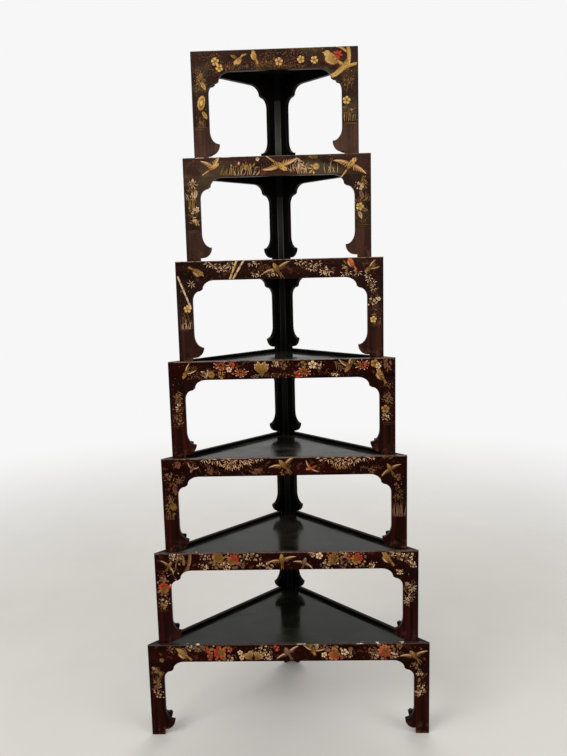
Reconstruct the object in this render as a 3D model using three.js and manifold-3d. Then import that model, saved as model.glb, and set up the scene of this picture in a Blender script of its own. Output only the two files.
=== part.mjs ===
// Corner etagere: seven triangular lacquered tables that stand one inside the rim of the next.
// Millimetres, +Z up. The long decorated front of every table faces -Y and its right-angled
// corner points to +Y. The origin is on the floor, in the middle of the lowest table's box.

import * as THREE from 'three';
import { mergeVertices } from 'three/addons/utils/BufferGeometryUtils.js';
import Module from 'manifold-3d';

// The stack
const tierCount = 7;
const topTierWidth = 381;
const tierHeight = 243;
const stackClearance = 1;

// Boards
const boardThickness = 10;
const railHeight = 45;
const rimHeight = 8;
const frontCornerRadius = 3;
const backCornerRadius = 2;

// The shelf panel and its groove in the rails
const panelThickness = 9;
const tongueThickness = 5;
const grooveDepth = 4;

// Legs: a scrolled foot, a straight shank and a cusped bracket under the rail
const frontShankWidth = 38;
const backShankWidth = 40;
const footHeight = 15;
const footSetback = 5;
const scrollReach = 22;
const scrollTipHeight = 39;
const scrollTopHeight = 70;
const bracketReach = 52;
const bracketDrop = 48;
const cuspReach = 18;
const cuspDrop = 25;
const cuspStepReach = 6;
const cuspStepRise = 4;

// Stub tenons on the legs, in the middle of the board's thickness
const tenonThickness = 3.4;
const tenonHeight = 12;
const tenonLength = 40;

// The fillet in the inner corner of the back leg
const postSide = 12.5;

// Fits and cuts
const fitClearance = 0.3;
const cutOverrun = 2;
const weldDistance = 0.0001;

// Counts and shares
const curveSegments = 7;
const cornerSegmentsPerQuarter = 4;
const quarterArcShare = 0.5523;

// Angles of a right-angled triangle with two equal sides
const frontHalfAngle = Math.PI / 8;
const backHalfAngle = Math.PI / 4;

// Sizes that follow
const tierPitch = tierHeight - rimHeight;
const railUnderside = tierHeight - railHeight;
const panelUnderside = tierPitch - panelThickness;
const tongueUnderside = panelUnderside + (panelThickness - tongueThickness) / 2;
const nestInset = boardThickness + stackClearance;

const up = new THREE.Vector3(0, 0, 1);

const wasm = await Module();
wasm.setup();

// The distance along a board by which rounding a corner shortens it
function cornerSetback(radius, halfAngle) {
  return radius / Math.tan(halfAngle) - radius;
}

// How much narrower a triangle gets when its three sides move in by an inset
function widthLoss(inset) {
  return 2 * inset / Math.tan(frontHalfAngle);
}

function tierWidth(index) {
  const sharpTopWidth = topTierWidth + 2 * cornerSetback(frontCornerRadius, frontHalfAngle);
  return sharpTopWidth + (tierCount - 1 - index) * widthLoss(nestInset);
}

// Plan of a table with its front on y = 0: its three corners, moved in by an inset
function planCorners(width, inset) {
  const half = (width - widthLoss(inset)) / 2;
  return {
    left: new THREE.Vector2(-half, inset),
    right: new THREE.Vector2(half, inset),
    back: new THREE.Vector2(0, inset + half),
  };
}

function planTriangle(width, inset) {
  return new THREE.Shape(Object.values(planCorners(width, inset)));
}

// The sides run left to right along the front, then to the back corner, then to the left one
const sideEnds = {
  front: { from: 'left', to: 'right', fromHalf: frontHalfAngle, toHalf: frontHalfAngle },
  right: { from: 'right', to: 'back', fromHalf: frontHalfAngle, toHalf: backHalfAngle },
  left: { from: 'back', to: 'left', fromHalf: backHalfAngle, toHalf: frontHalfAngle },
};

// A side's own frame: u along it from its first corner, v up, and its outward direction
function sideFrame(width, sideName) {
  const side = sideEnds[sideName];
  const corners = planCorners(width, 0);
  const start = corners[side.from];
  const end = corners[side.to];
  const along = new THREE.Vector3(end.x - start.x, end.y - start.y, 0).normalize();
  const outward = along.clone().cross(up);
  return { ...side, start: new THREE.Vector3(start.x, start.y, 0), along, outward,
    length: start.distanceTo(end) };
}

function toSolid(geometry) {
  const bare = geometry.clone();
  bare.deleteAttribute('normal');
  bare.deleteAttribute('uv');
  const merged = mergeVertices(bare, weldDistance);
  return new wasm.Manifold(new wasm.Mesh({
    numProp: 3,
    vertProperties: merged.attributes.position.array,
    triVerts: merged.index.array,
  }));
}

function toMesh(solid, name, material) {
  const { vertProperties, triVerts } = solid.getMesh();
  const geometry = new THREE.BufferGeometry();
  geometry.setAttribute('position', new THREE.BufferAttribute(vertProperties, 3));
  geometry.setIndex(new THREE.BufferAttribute(triVerts, 1));
  geometry.computeVertexNormals();
  const mesh = new THREE.Mesh(geometry, material);
  mesh.name = name;
  return mesh;
}

// An upright prism over a plan shape
function prism(shape, low, high) {
  const geometry = new THREE.ExtrudeGeometry(shape, { depth: high - low, bevelEnabled: false });
  return toSolid(geometry.translate(0, 0, low));
}

// A board's outline in its side's frame, extruded over part of the board's thickness
function boardSolid(frame, outline, innerDepth, thickness) {
  const geometry = new THREE.ExtrudeGeometry(outline, {
    depth: thickness, bevelEnabled: false, curveSegments,
  });
  const place = new THREE.Matrix4().makeBasis(frame.along, up, frame.outward);
  place.setPosition(frame.start.clone().addScaledVector(frame.outward, -innerDepth));
  return toSolid(geometry.applyMatrix4(place));
}

// The plan of a table with its three corners rounded
function roundedPlan(width) {
  const { left, right, back } = planCorners(width, 0);
  const points = [];
  const corners = [
    { corner: left, radius: frontCornerRadius, half: frontHalfAngle, normal: 3 * Math.PI / 4 },
    { corner: right, radius: frontCornerRadius, half: frontHalfAngle, normal: -Math.PI / 2 },
    { corner: back, radius: backCornerRadius, half: backHalfAngle, normal: Math.PI / 4 },
  ];
  for (const { corner, radius, half, normal } of corners) {
    const turn = Math.PI - 2 * half;
    const middle = normal + turn / 2;
    const reach = radius / Math.sin(half);
    const centre = new THREE.Vector2(corner.x - reach * Math.cos(middle),
      corner.y - reach * Math.sin(middle));
    const steps = Math.round(cornerSegmentsPerQuarter * turn / (Math.PI / 2));
    for (let step = 0; step <= steps; step += 1) {
      const angle = normal + turn * step / steps;
      points.push(new THREE.Vector2(centre.x + radius * Math.cos(angle),
        centre.y + radius * Math.sin(angle)));
    }
  }
  return new THREE.Shape(points);
}

// A quarter of an ellipse from the shape's last point to an end, tangent to the lines that
// meet in the corner
function curveInto(shape, corner, end) {
  const first = shape.currentPoint.clone().lerp(corner, quarterArcShare);
  const second = end.clone().lerp(corner, quarterArcShare);
  shape.bezierCurveTo(first.x, first.y, second.x, second.y, end.x, end.y);
}

// Outline of a leg's board. u grows from the table's corner along the board, v from the foot up.
function legOutline(shankWidth, halfAngle, cornerRadius) {
  const shank = shankWidth + cornerSetback(cornerRadius, halfAngle);
  const foot = shank - footSetback;
  const tip = shank + scrollReach;
  const cusp = shank + cuspReach;
  const cuspHeight = railUnderside - cuspDrop;
  const step = new THREE.Vector2(cusp + cuspStepReach, cuspHeight + cuspStepRise);
  const shape = new THREE.Shape();
  shape.moveTo(0, 0);
  shape.lineTo(foot, 0);
  shape.lineTo(foot, footHeight);
  shape.lineTo(shank, footHeight);
  curveInto(shape, new THREE.Vector2(tip, footHeight), new THREE.Vector2(tip, scrollTipHeight));
  curveInto(shape, new THREE.Vector2(shank, scrollTipHeight),
    new THREE.Vector2(shank, scrollTopHeight));
  shape.lineTo(shank, railUnderside - bracketDrop);
  curveInto(shape, new THREE.Vector2(shank, cuspHeight), new THREE.Vector2(cusp, cuspHeight));
  shape.lineTo(step.x, step.y);
  curveInto(shape, new THREE.Vector2(step.x, railUnderside),
    new THREE.Vector2(shank + bracketReach, railUnderside));
  shape.lineTo(0, railUnderside);
  shape.closePath();
  return shape;
}

function rectangle(left, right, low, high) {
  return new THREE.Shape([
    new THREE.Vector2(left, low),
    new THREE.Vector2(right, low),
    new THREE.Vector2(right, high),
    new THREE.Vector2(left, high),
  ]);
}

// The same outline measured back from the far corner of a side
function turnedRound(shape, length) {
  const points = shape.getPoints(curveSegments).map((point) =>
    new THREE.Vector2(length - point.x, point.y));
  return new THREE.Shape(points.reverse());
}

// The stub tenon of a leg's board, or with play its mortise in the rail above
function tenonOutline(shankWidth, play, low) {
  const middle = (shankWidth + bracketReach) / 2;
  const half = tenonLength / 2 + play;
  return rectangle(middle - half, middle + half, low, railUnderside + tenonHeight + play);
}

// One outline of a side, at the side's first or last corner
function atEnd(frame, outline, last) {
  return last ? turnedRound(outline, frame.length) : outline;
}

// A leg: two boards of one outline that meet round a corner, each with its tenon
function legSolid(width, arms, shankWidth, halfAngle, cornerRadius) {
  const tenonDepth = (boardThickness + tenonThickness) / 2;
  const outline = legOutline(shankWidth, halfAngle, cornerRadius);
  const tenon = tenonOutline(shankWidth, 0, railUnderside - cutOverrun);
  let leg = null;
  for (const { sideName, last } of arms) {
    const frame = sideFrame(width, sideName);
    const arm = boardSolid(frame, atEnd(frame, outline, last), boardThickness, boardThickness)
      .add(boardSolid(frame, atEnd(frame, tenon, last), tenonDepth, tenonThickness));
    leg = leg === null ? arm : leg.add(arm);
  }
  return leg.intersect(prism(roundedPlan(width), 0, tierHeight));
}

// The length of ring that lies between the mitres at the two ends of a side
function mitreWedge(frame) {
  const play = fitClearance / 2;
  const fromAt = (depth) => play / Math.sin(frame.fromHalf) + depth / Math.tan(frame.fromHalf);
  const toAt = (depth) =>
    frame.length - play / Math.sin(frame.toHalf) - depth / Math.tan(frame.toHalf);
  const outer = -cutOverrun;
  const inner = boardThickness + cutOverrun;
  const plan = [[fromAt(outer), outer], [toAt(outer), outer], [toAt(inner), inner],
    [fromAt(inner), inner]];
  const points = plan.map(([reach, depth]) => {
    const point = frame.start.clone().addScaledVector(frame.along, reach)
      .addScaledVector(frame.outward, -depth);
    return new THREE.Vector2(point.x, point.y);
  });
  return prism(new THREE.Shape(points), railUnderside - cutOverrun, tierHeight + cutOverrun);
}

// The ring of three rails in one, grooved inside for the shelf panel
function railRing(width) {
  const hollow = planTriangle(width, boardThickness);
  const groove = planTriangle(width, boardThickness - grooveDepth);
  return prism(roundedPlan(width), railUnderside, tierHeight)
    .subtract(prism(hollow, railUnderside - cutOverrun, tierHeight + cutOverrun))
    .subtract(prism(groove, tongueUnderside, tongueUnderside + tongueThickness + fitClearance));
}

function railSolid(width, sideName) {
  const frame = sideFrame(width, sideName);
  const mortiseDepth = (boardThickness + tenonThickness) / 2 + fitClearance;
  const mortiseThickness = tenonThickness + 2 * fitClearance;
  let rail = railRing(width).intersect(mitreWedge(frame));
  for (const last of [false, true]) {
    const half = last ? frame.toHalf : frame.fromHalf;
    const shankWidth = half === frontHalfAngle ? frontShankWidth : backShankWidth;
    const mortise = tenonOutline(shankWidth, fitClearance, railUnderside - cutOverrun);
    rail = rail.subtract(boardSolid(frame, atEnd(frame, mortise, last), mortiseDepth,
      mortiseThickness));
  }
  return rail;
}

// The shelf: a lacquered board whose tongue runs round in the grooves of the rails
function panelSolid(width) {
  const board = planTriangle(width, boardThickness + fitClearance);
  const tongue = planTriangle(width, boardThickness - grooveDepth + fitClearance);
  return prism(board, panelUnderside, tierPitch)
    .add(prism(tongue, tongueUnderside, tongueUnderside + tongueThickness));
}

// The three-sided fillet that stiffens the back leg, from the foot up to the shelf
function postSolid(width) {
  const corner = planCorners(width, boardThickness + fitClearance).back;
  const reach = postSide * Math.SQRT1_2;
  const plan = new THREE.Shape([
    corner,
    new THREE.Vector2(corner.x - reach, corner.y - reach),
    new THREE.Vector2(corner.x + reach, corner.y - reach),
  ]);
  return prism(plan, 0, panelUnderside);
}

function lacquer(colour, roughness) {
  return new THREE.MeshStandardMaterial({ color: colour, roughness, metalness: 0, flatShading: true });
}

const redLacquer = lacquer(0x4a1f18, 0.35);
const blackLacquer = lacquer(0x1b1614, 0.35);
const shelfLacquer = lacquer(0x24221f, 0.22);

// One table, in its own frame: its front on y = 0 and its feet on z = 0
function tier(index) {
  const width = tierWidth(index);
  const prefix = `tier${index + 1}_`;
  const group = new THREE.Group();
  const add = (name, solid, material) => group.add(toMesh(solid, prefix + name, material));

  add('shelf_panel', panelSolid(width), shelfLacquer);
  add('front_rail', railSolid(width, 'front'), redLacquer);
  add('left_rail', railSolid(width, 'left'), blackLacquer);
  add('right_rail', railSolid(width, 'right'), blackLacquer);

  const leftArms = [{ sideName: 'left', last: true }, { sideName: 'front', last: false }];
  const rightArms = [{ sideName: 'front', last: true }, { sideName: 'right', last: false }];
  const backArms = [{ sideName: 'right', last: true }, { sideName: 'left', last: false }];
  add('left_leg', legSolid(width, leftArms, frontShankWidth, frontHalfAngle, frontCornerRadius),
    redLacquer);
  add('right_leg', legSolid(width, rightArms, frontShankWidth, frontHalfAngle, frontCornerRadius),
    redLacquer);
  add('back_leg', legSolid(width, backArms, backShankWidth, backHalfAngle, backCornerRadius),
    blackLacquer);
  add('back_post', postSolid(width), blackLacquer);
  return group;
}

// Every table stands on the shelf below, just inside its rim. The lowest one has its box
// centred on the origin.
const lowestDepth = tierWidth(0) / 2
  - backCornerRadius * (1 / Math.sin(backHalfAngle) - 1);
const etagere = new THREE.Group();
for (let index = 0; index < tierCount; index += 1) {
  const table = tier(index);
  table.position.set(0, index * nestInset - lowestDepth / 2, index * tierPitch);
  etagere.add(table);
}

export default etagere;
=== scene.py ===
"""Looks of the corner etagere: seven lacquered tables with raised gold work on their fronts."""

import logging
import math
from cmath import rect
from dataclasses import dataclass, field, replace
from enum import Enum
from functools import cache

import bmesh
import bpy
import numpy as np
from mathutils import Matrix, Vector


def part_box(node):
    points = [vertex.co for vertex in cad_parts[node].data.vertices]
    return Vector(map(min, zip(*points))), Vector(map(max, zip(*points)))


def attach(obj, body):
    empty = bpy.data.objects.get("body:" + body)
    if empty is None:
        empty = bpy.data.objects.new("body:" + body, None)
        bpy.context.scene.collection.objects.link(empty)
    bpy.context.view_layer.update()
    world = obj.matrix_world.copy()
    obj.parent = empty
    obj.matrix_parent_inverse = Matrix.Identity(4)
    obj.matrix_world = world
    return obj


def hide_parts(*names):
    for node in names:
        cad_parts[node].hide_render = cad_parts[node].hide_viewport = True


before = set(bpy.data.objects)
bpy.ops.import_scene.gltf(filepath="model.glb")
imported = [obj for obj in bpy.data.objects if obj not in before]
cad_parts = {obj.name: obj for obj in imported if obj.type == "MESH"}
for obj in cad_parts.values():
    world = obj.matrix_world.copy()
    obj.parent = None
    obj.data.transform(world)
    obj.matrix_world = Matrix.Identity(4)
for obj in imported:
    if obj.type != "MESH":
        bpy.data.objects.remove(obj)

LOG = logging.getLogger("etagere")
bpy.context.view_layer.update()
MM = 0.001
PITCH = 0.235  # from the foot of one table to the foot of the next, in metres
SLACK = 0.0005  # added to a height so that the foot itself counts as the table's own
Rgb = tuple[int, int, int]  # a colour as the eye reads it, 0 to 255
Pair = tuple[float, float]
Triple = tuple[float, float, float]


def shade(colour: Rgb) -> tuple[float, ...]:
    """Turns a colour as the eye reads it into the linear one that shaders take."""
    parts = np.array(colour) / 255.0
    linear = np.where(parts <= 0.04045, parts / 12.92, ((parts + 0.055) / 1.055) ** 2.4)
    return (*map(float, linear), 1.0)


def unit(turn: float) -> complex:
    """Gives a step of length 1 on a front, turned by so many degrees from the right."""
    return rect(1.0, math.radians(turn))


# Nodes


@dataclass(frozen=True)
class Value:
    """An output in a node tree, with which sums are written as with plain numbers."""

    graph: "Graph"
    socket: bpy.types.NodeSocket

    def calc(self, operation: str, other: "float | Value" = 0.0) -> "Value":
        """Works out one sum with another value."""
        return self.graph.get("ShaderNodeMath", {0: self, 1: other}, operation=operation)

    def __add__(self, other: "float | Value") -> "Value":
        """Adds another value."""
        return self.calc("ADD", other)

    def __sub__(self, other: "float | Value") -> "Value":
        """Takes another value away."""
        return self.calc("SUBTRACT", other)

    def __rsub__(self, other: float) -> "Value":
        """Takes this value from a number."""
        return self.graph.get("ShaderNodeMath", {0: other, 1: self}, operation="SUBTRACT")

    def __mul__(self, other: "float | Value") -> "Value":
        """Multiplies by another value."""
        return self.calc("MULTIPLY", other)

    def __mod__(self, other: float) -> "Value":
        """Gives what is left after whole steps of a number."""
        return self.calc("MODULO", other)

    def most(self, other: "Value") -> "Value":
        """Gives the greater of two values."""
        return self.calc("MAXIMUM", other)

    def held(self) -> "Value":
        """Holds the value between 0 and 1."""
        return self.graph.get("ShaderNodeClamp", {0: self})

    def span(self, low: float, high: float, out_low: float = 0.0, out_high: float = 1.0) -> "Value":
        """Maps low..high to out_low..out_high by a soft step, held between them."""
        limits = {0: self, 1: low, 2: high, 3: out_low, 4: out_high}
        return self.graph.get("ShaderNodeMapRange", limits, interpolation_type="SMOOTHSTEP")

    def blend(self, low: "Rgb | Value", high: "Rgb | Value") -> "Value":
        """Mixes two colours; this value is the second one's share."""
        ends = [shade(end) if isinstance(end, tuple) else end for end in (low, high)]
        return self.graph.get("ShaderNodeMix", {0: self, 6: ends[0], 7: ends[1]}, 2, data_type="RGBA")

    def part(self, axis: str) -> "Value":
        """Gives one coordinate: X, Y or Z."""
        return self.graph.get("ShaderNodeSeparateXYZ", {0: self}, axis)

    def scaled(self, by: "Triple | Value") -> "Value":
        """Stretches coordinates along each axis."""
        return self.graph.get("ShaderNodeVectorMath", {0: self, 1: by}, operation="MULTIPLY")

    def noise(self, scale: float, detail: float = 3.0, rough: float = 0.5, twist: float = 0.0) -> "Value":
        """Gives soft noise at these coordinates, from about 0.3 to 0.7."""
        inputs = {"Vector": self, "Scale": scale, "Detail": detail, "Roughness": rough, "Distortion": twist}
        return self.graph.get("ShaderNodeTexNoise", inputs)


@dataclass(frozen=True)
class Graph:
    """Fills one node tree by short calls."""

    tree: bpy.types.NodeTree

    def fill(self, node: bpy.types.Node, inputs: dict) -> None:
        """Feeds a node's inputs, by name or number, with values of the tree or with constants."""
        for key, value in inputs.items():
            if isinstance(value, Value):
                self.tree.links.new(value.socket, node.inputs[key])
            else:
                node.inputs[key].default_value = value

    def add(self, kind: str, inputs: dict | None = None, **settings: object) -> bpy.types.Node:
        """Adds one node.

        Args:
            kind: the node's type.
            inputs: what feeds its inputs.
            settings: the node's own options.

        Returns:
            The new node.
        """
        node = self.tree.nodes.new(kind)
        for key, value in settings.items():
            setattr(node, key, value)
        self.fill(node, inputs or {})
        return node

    def get(self, kind: str, inputs: dict | None = None, output: int | str = 0, **settings: object) -> Value:
        """Adds one node and returns one of its outputs."""
        return Value(self, self.add(kind, inputs, **settings).outputs[output])

    def all_of(self, node: bpy.types.Node) -> dict[str, Value]:
        """Returns all of a node's outputs by name."""
        return {out.name: Value(self, out) for out in node.outputs}

    def place(self) -> Value:
        """Returns the Object coordinates, which stay with the piece."""
        return self.get("ShaderNodeTexCoord", output="Object")

    def effect(self, effect: "Effect", **inputs: object) -> dict[str, Value]:
        """Places a shared effect, with its own values in this material."""
        return self.all_of(self.add("ShaderNodeGroup", inputs, node_tree=effect.tree()))


def streaks_effect(place: Value, given: dict[str, Value]) -> dict[str, Value]:
    """Brushed lacquer: noise drawn out along the board, with a broad cloud and a finer run of lines."""
    run = place.scaled(given["Run"])
    return {
        "Streak": run.noise(1.0, 4.0, 0.6, 0.3).span(0.36, 0.66).calc("POWER", given["Contrast"]),
        "Line": run.scaled((1.0, 3.2, 3.2)).noise(1.0, 3.0, 0.55).span(0.48, 0.7),
        "Cloud": place.noise(7.0, 4.0, 0.55).span(0.32, 0.68),
    }


def wear_effect(place: Value, given: dict[str, Value]) -> dict[str, Value]:
    """Wear along arrises: where the rounded normal leaves the flat one, broken up by two sizes of noise."""
    graph = place.graph
    normals = {0: graph.get("ShaderNodeBevel", {"Radius": given["Radius"]}, samples=6),
               1: graph.get("ShaderNodeNewGeometry", output="Normal")}
    agreement = graph.get("ShaderNodeVectorMath", normals, "Value", operation="DOT_PRODUCT")
    arris = (1.0 - agreement).span(0.004, 0.16)
    rubbed = place.noise(38.0, 5.0, 0.7) + arris * 0.22
    limit = 0.86 - given["Amount"] * 0.55
    chips = place.noise(62.0, 5.0, 0.65).span(0.6, 0.64)
    return {"Wear": ((rubbed - limit) * 9.0).held() * arris, "Chips": chips * arris.span(0.2, 0.6)}


def age_effect(place: Value, given: dict[str, Value]) -> dict[str, Value]:
    """Old lacquer: hair cracks between small cells, pinholes, and dust in soft patches."""
    graph = place.graph
    stir = graph.get("ShaderNodeTexNoise", {"Vector": place, "Scale": 60.0}, "Color")
    bent = graph.get(
        "ShaderNodeVectorMath", {0: stir, 1: (0.008, 0.008, 0.008), 2: place}, operation="MULTIPLY_ADD",
    )
    cells = graph.get(
        "ShaderNodeTexVoronoi", {"Vector": bent, "Scale": given["Cell"]}, feature="DISTANCE_TO_EDGE",
    )
    pores = graph.get("ShaderNodeTexVoronoi", {"Vector": place, "Scale": 420.0})
    speck = place.noise(900.0, 2.0, 0.7).span(0.56, 0.7)
    return {
        "Crack": cells.span(0.0, 0.05, 1.0, 0.0) * place.noise(11.0, 3.0).span(0.5, 0.66),
        "Pits": pores.span(0.08, 0.16, 1.0, 0.0),
        "Dust": place.noise(17.0, 5.0, 0.65).span(0.42, 0.72) * (speck * 0.7 + 0.3),
    }


def scratches_effect(place: Value, given: dict[str, Value]) -> dict[str, Value]:
    """Fine scratches: three sets of stretched noise, crossed at angles, kept where they peak."""
    sets = []
    for angle, run in ((17.0, (6.0, 340.0, 1.0)), (-38.0, (9.0, 420.0, 1.0)), (71.0, (14.0, 520.0, 1.0))):
        turned = place.graph.get(
            "ShaderNodeMapping", {"Vector": place, "Rotation": (0.0, 0.0, math.radians(angle))},
        )
        lines = turned.scaled(run).noise(1.0, 2.0, 0.5, 0.15).span(0.64, 0.74)
        sets.append(lines * turned.noise(13.0, 2.0).span(0.5, 0.62))
    return {
        "Scratch": sets[0].most(sets[1]).most(sets[2]) * given["Amount"],
        "Rub": place.scaled((1.0, 2.4, 1.0)).noise(5.5, 5.0, 0.6, 0.4).span(0.4, 0.7),
    }


def powder_effect(place: Value, given: dict[str, Value]) -> dict[str, Value]:
    """Sprinkled gold powder: soft drifts of noise, dense in their middles, made of tiny separate grains."""
    drift = place.scaled((1.0, 1.0, 2.2)).noise(8.5, 3.0, 0.5, 0.6).span(0.46, 0.66)
    grain = place.noise(1300.0, 1.0, 0.5).span(0.6, 0.68)
    return {"Drift": drift * given["Amount"], "Grain": grain * (drift * 0.75 + 0.25)}


def leaf_effect(place: Value, given: dict[str, Value]) -> dict[str, Value]:
    """Gold on a raised stroke: veins along it from its own UV map, grains of metal and rubbed places."""
    across = place.graph.get("ShaderNodeUVMap", uv_map="Stroke").part("X")
    patchy = place.noise(150.0, 4.0, 0.7) + place.noise(21.0, 2.0) * 0.45
    limit = 1.0 - given["Rubbed"] * 0.42
    return {
        "Vein": (across * given["Veins"]).calc("PINGPONG", 0.5).span(0.06, 0.3),
        "Grain": place.noise(1400.0, 2.0, 0.7).span(0.35, 0.65),
        "Bare": ((patchy - limit) * 8.0).held(),
    }


class Effect(Enum):
    """Surface effects that several finishes share: the group's name, what fills it, and its inputs."""

    STREAKS = ("lacquer streaks", streaks_effect, {"Run": (4.0, 60.0, 60.0), "Contrast": 1.0})
    WEAR = ("edge wear", wear_effect, {"Radius": 0.0016, "Amount": 0.5})
    AGE = ("lacquer age", age_effect, {"Cell": 140.0})
    SCRATCHES = ("fine scratches", scratches_effect, {"Amount": 0.5})
    POWDER = ("gold powder", powder_effect, {"Amount": 0.5})
    LEAF = ("gold leaf", leaf_effect, {"Veins": 5.0, "Rubbed": 0.4})

    def tree(self) -> bpy.types.NodeTree:
        """Returns the effect's node group, and builds it the first time."""
        name, build, inputs = self.value
        if name in bpy.data.node_groups:
            return bpy.data.node_groups[name]
        tree = bpy.data.node_groups.new(name, "ShaderNodeTree")
        graph = Graph(tree)
        for key, value in inputs.items():
            kind = "NodeSocketVector" if isinstance(value, tuple) else "NodeSocketFloat"
            tree.interface.new_socket(name=key, in_out="INPUT", socket_type=kind).default_value = value
        made = build(graph.place(), graph.all_of(graph.add("NodeGroupInput")))
        for key in made:
            tree.interface.new_socket(name=key, in_out="OUTPUT", socket_type="NodeSocketFloat")
        graph.add("NodeGroupOutput", made)
        return tree


def new_material(name: str) -> tuple[bpy.types.Material, Graph, bpy.types.Node]:
    """Starts a material and returns it with its graph and its shader."""
    material = bpy.data.materials.new(name)
    material.use_nodes = True
    return material, Graph(material.node_tree), material.node_tree.nodes["Principled BSDF"]


# Finishes


class Run(Enum):
    """Which way the lacquer's brush marks run, as the stretch of the noise along x, y and z."""

    ALONG_RAIL = (3.5, 3.5, 95.0)
    DOWN_LEG = (85.0, 85.0, 3.2)
    OVER_SHELF = (14.0, 14.0, 14.0)


@dataclass(frozen=True)
class Lacquer:
    """A lacquer finish: its colours as the eye reads them, gloss, and how worn it is.

    The colours called high are those of the upper tables; the tone changes over the heights of rise. On the
    fronts and the back posts the lighter high colours are painted light, the upper tables being lit more
    from above. Covered is the height above the foot, in metres, of a seam that the lacquer runs over.
    """

    name: str
    deep: Rgb
    warm: Rgb
    streak: Rgb
    worn: Rgb
    run: Run = Run.ALONG_RAIL
    deep_high: Rgb | None = None
    warm_high: Rgb | None = None
    streak_high: Rgb | None = None
    streak_share: float = 0.5
    gloss: float = 0.22
    dull: float = 0.5
    wear: float = 0.5
    wear_width: float = 1.6
    dust: float = 0.1
    foot_wear: bool = False
    scratches: float = 0.0
    specular: float = 0.35
    powder: float = 0.0
    chip: Rgb = (176, 152, 124)
    # A painted highlight line under a front's rim top edge, and bites worn out of that edge.
    rise: Pair = (0.7, 1.35)
    rim_highlight_and_chips: bool = False
    # Height above a post's foot from which painted shade covers it, as under the shelf above.
    painted_shade_above: float = 0.0
    drawn_above: float = 0.0
    sheen: Triple = (1.0, 1.0, 1.0)
    cloudy: float = 0.0
    covered: float = 0.0
    covered_high: float = 0.2

    @cache
    def material(self) -> bpy.types.Material:
        """Builds the material, the first time that it is asked for.

        Returns:
            A material whose tone changes up the stack, along the brush marks and at the arrises.
        """
        material, graph, shader = new_material(self.name)
        streaks = graph.effect(Effect.STREAKS, Run=self.run.value, Contrast=1.3)
        age = graph.effect(Effect.AGE, Cell=150.0)
        wear = graph.effect(Effect.WEAR, Radius=self.wear_width * MM, Amount=self.wear)
        place = graph.place()
        height = place.part("Z")
        # Tone up the stack: on the fronts and back posts the lighter high colours are painted light from above.
        up = height.span(*self.rise)
        deep = up.blend(self.deep, self.deep_high or self.deep)
        warm = up.blend(self.warm, self.warm_high or self.warm)
        ground = streaks["Cloud"].blend(deep, warm)
        line = up.blend(self.streak, self.streak_high or self.streak)
        ground = (streaks["Streak"] * self.streak_share).blend(ground, line)
        ground = (streaks["Line"] * 0.35).blend(ground, deep)
        ground = (age["Crack"] * 0.55).blend(ground, (12, 9, 8))
        if self.drawn_above:
            over = (height + SLACK) % PITCH
            drawn = over.span(self.drawn_above, self.drawn_above + 0.01) * height.span(0.94, 1.2, 0.0, 0.62)
            ground = over.span(0.11, 0.19, 0.0, 0.6).blend(ground, deep)
            ground = drawn.blend(ground, (22, 12, 11))
        if self.powder:
            ground = self.powdered(ground, graph, height)
        dusty = age["Dust"] * self.dust
        ground = dusty.blend(ground, (120, 112, 102))
        worn, chips = wear["Wear"], wear["Chips"]
        if self.covered:
            over = height % PITCH
            seam = over.span(self.covered - 0.005, self.covered - 0.003)
            seam = seam * over.span(self.covered + 0.003, self.covered + 0.005, 1.0, 0.0)
            bare = 1.0 - seam * height.span(0.95, 1.25, 0.85, self.covered_high)
            worn, chips = worn * bare, chips * bare
        if self.foot_wear:
            low = ((height + SLACK) % PITCH).span(0.004, 0.045, 0.55, 0.0)
            worn = worn.most(low * place.noise(70.0, 5.0, 0.7).span(0.5, 0.62))
        ground = (worn * 0.8).blend(ground, self.worn)
        ground = (chips * 0.75).blend(ground, self.chip)
        # Painted highlight along the rim's top arris, with worn bites out of that edge.
        if self.rim_highlight_and_chips:
            ground = self.rim_highlight_and_bites(ground, place, height)
        # Painted light and shade on a back post.
        if self.painted_shade_above:
            ground = self.lit_edges(ground, place, height)
        rough = streaks["Cloud"].span(0.0, 1.0, self.gloss, self.gloss + 0.4 * (self.dull - self.gloss))
        rough = rough + worn * 0.3 + dusty * 0.5
        bumps = age["Crack"] * -0.5 + streaks["Streak"] * 0.25 + age["Pits"] * -0.35 + worn * -0.8
        if self.scratches:
            marks = graph.effect(Effect.SCRATCHES, Amount=self.scratches)
            ground = (marks["Rub"] * 0.5).blend(ground, (17, 17, 14))
            rough = rough + marks["Rub"] * 0.16 + marks["Scratch"] * 0.3
            bumps = bumps + marks["Scratch"] * -0.5
        if self.cloudy:
            cloud = place.scaled((1.0, 1.9, 1.0)).noise(7.0, 5.0, 0.6, 0.5)
            ground = cloud.span(0.36, 0.64, self.cloudy, 0.0).blend(ground, (9, 9, 7))
            rough = rough + cloud.span(0.4, 0.66, 0.0, 0.06)
        graph.fill(shader, {
            "Base Color": ground, "Roughness": rough, "IOR": 1.5, "Specular IOR Level": self.specular,
            "Specular Tint": (*self.sheen, 1.0),
            "Normal": graph.get("ShaderNodeBump", {"Height": bumps, "Distance": 0.12 * MM, "Strength": 0.35}),
        })
        return material

    def powdered(self, ground: Value, graph: Graph, height: Value) -> Value:
        """Lays gold powder over the upper fronts, on a leg above its foot alone."""
        powder = graph.effect(Effect.POWDER, Amount=self.powder)
        rising = height.span(1.19, 1.4)
        if self.run is Run.DOWN_LEG:
            rising = rising * (height % PITCH).span(0.066, 0.082)
        ground = (powder["Drift"] * rising).blend(ground, (80, 69, 50))
        return (powder["Grain"] * (rising * 0.45)).blend(ground, (128, 98, 66))

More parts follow.
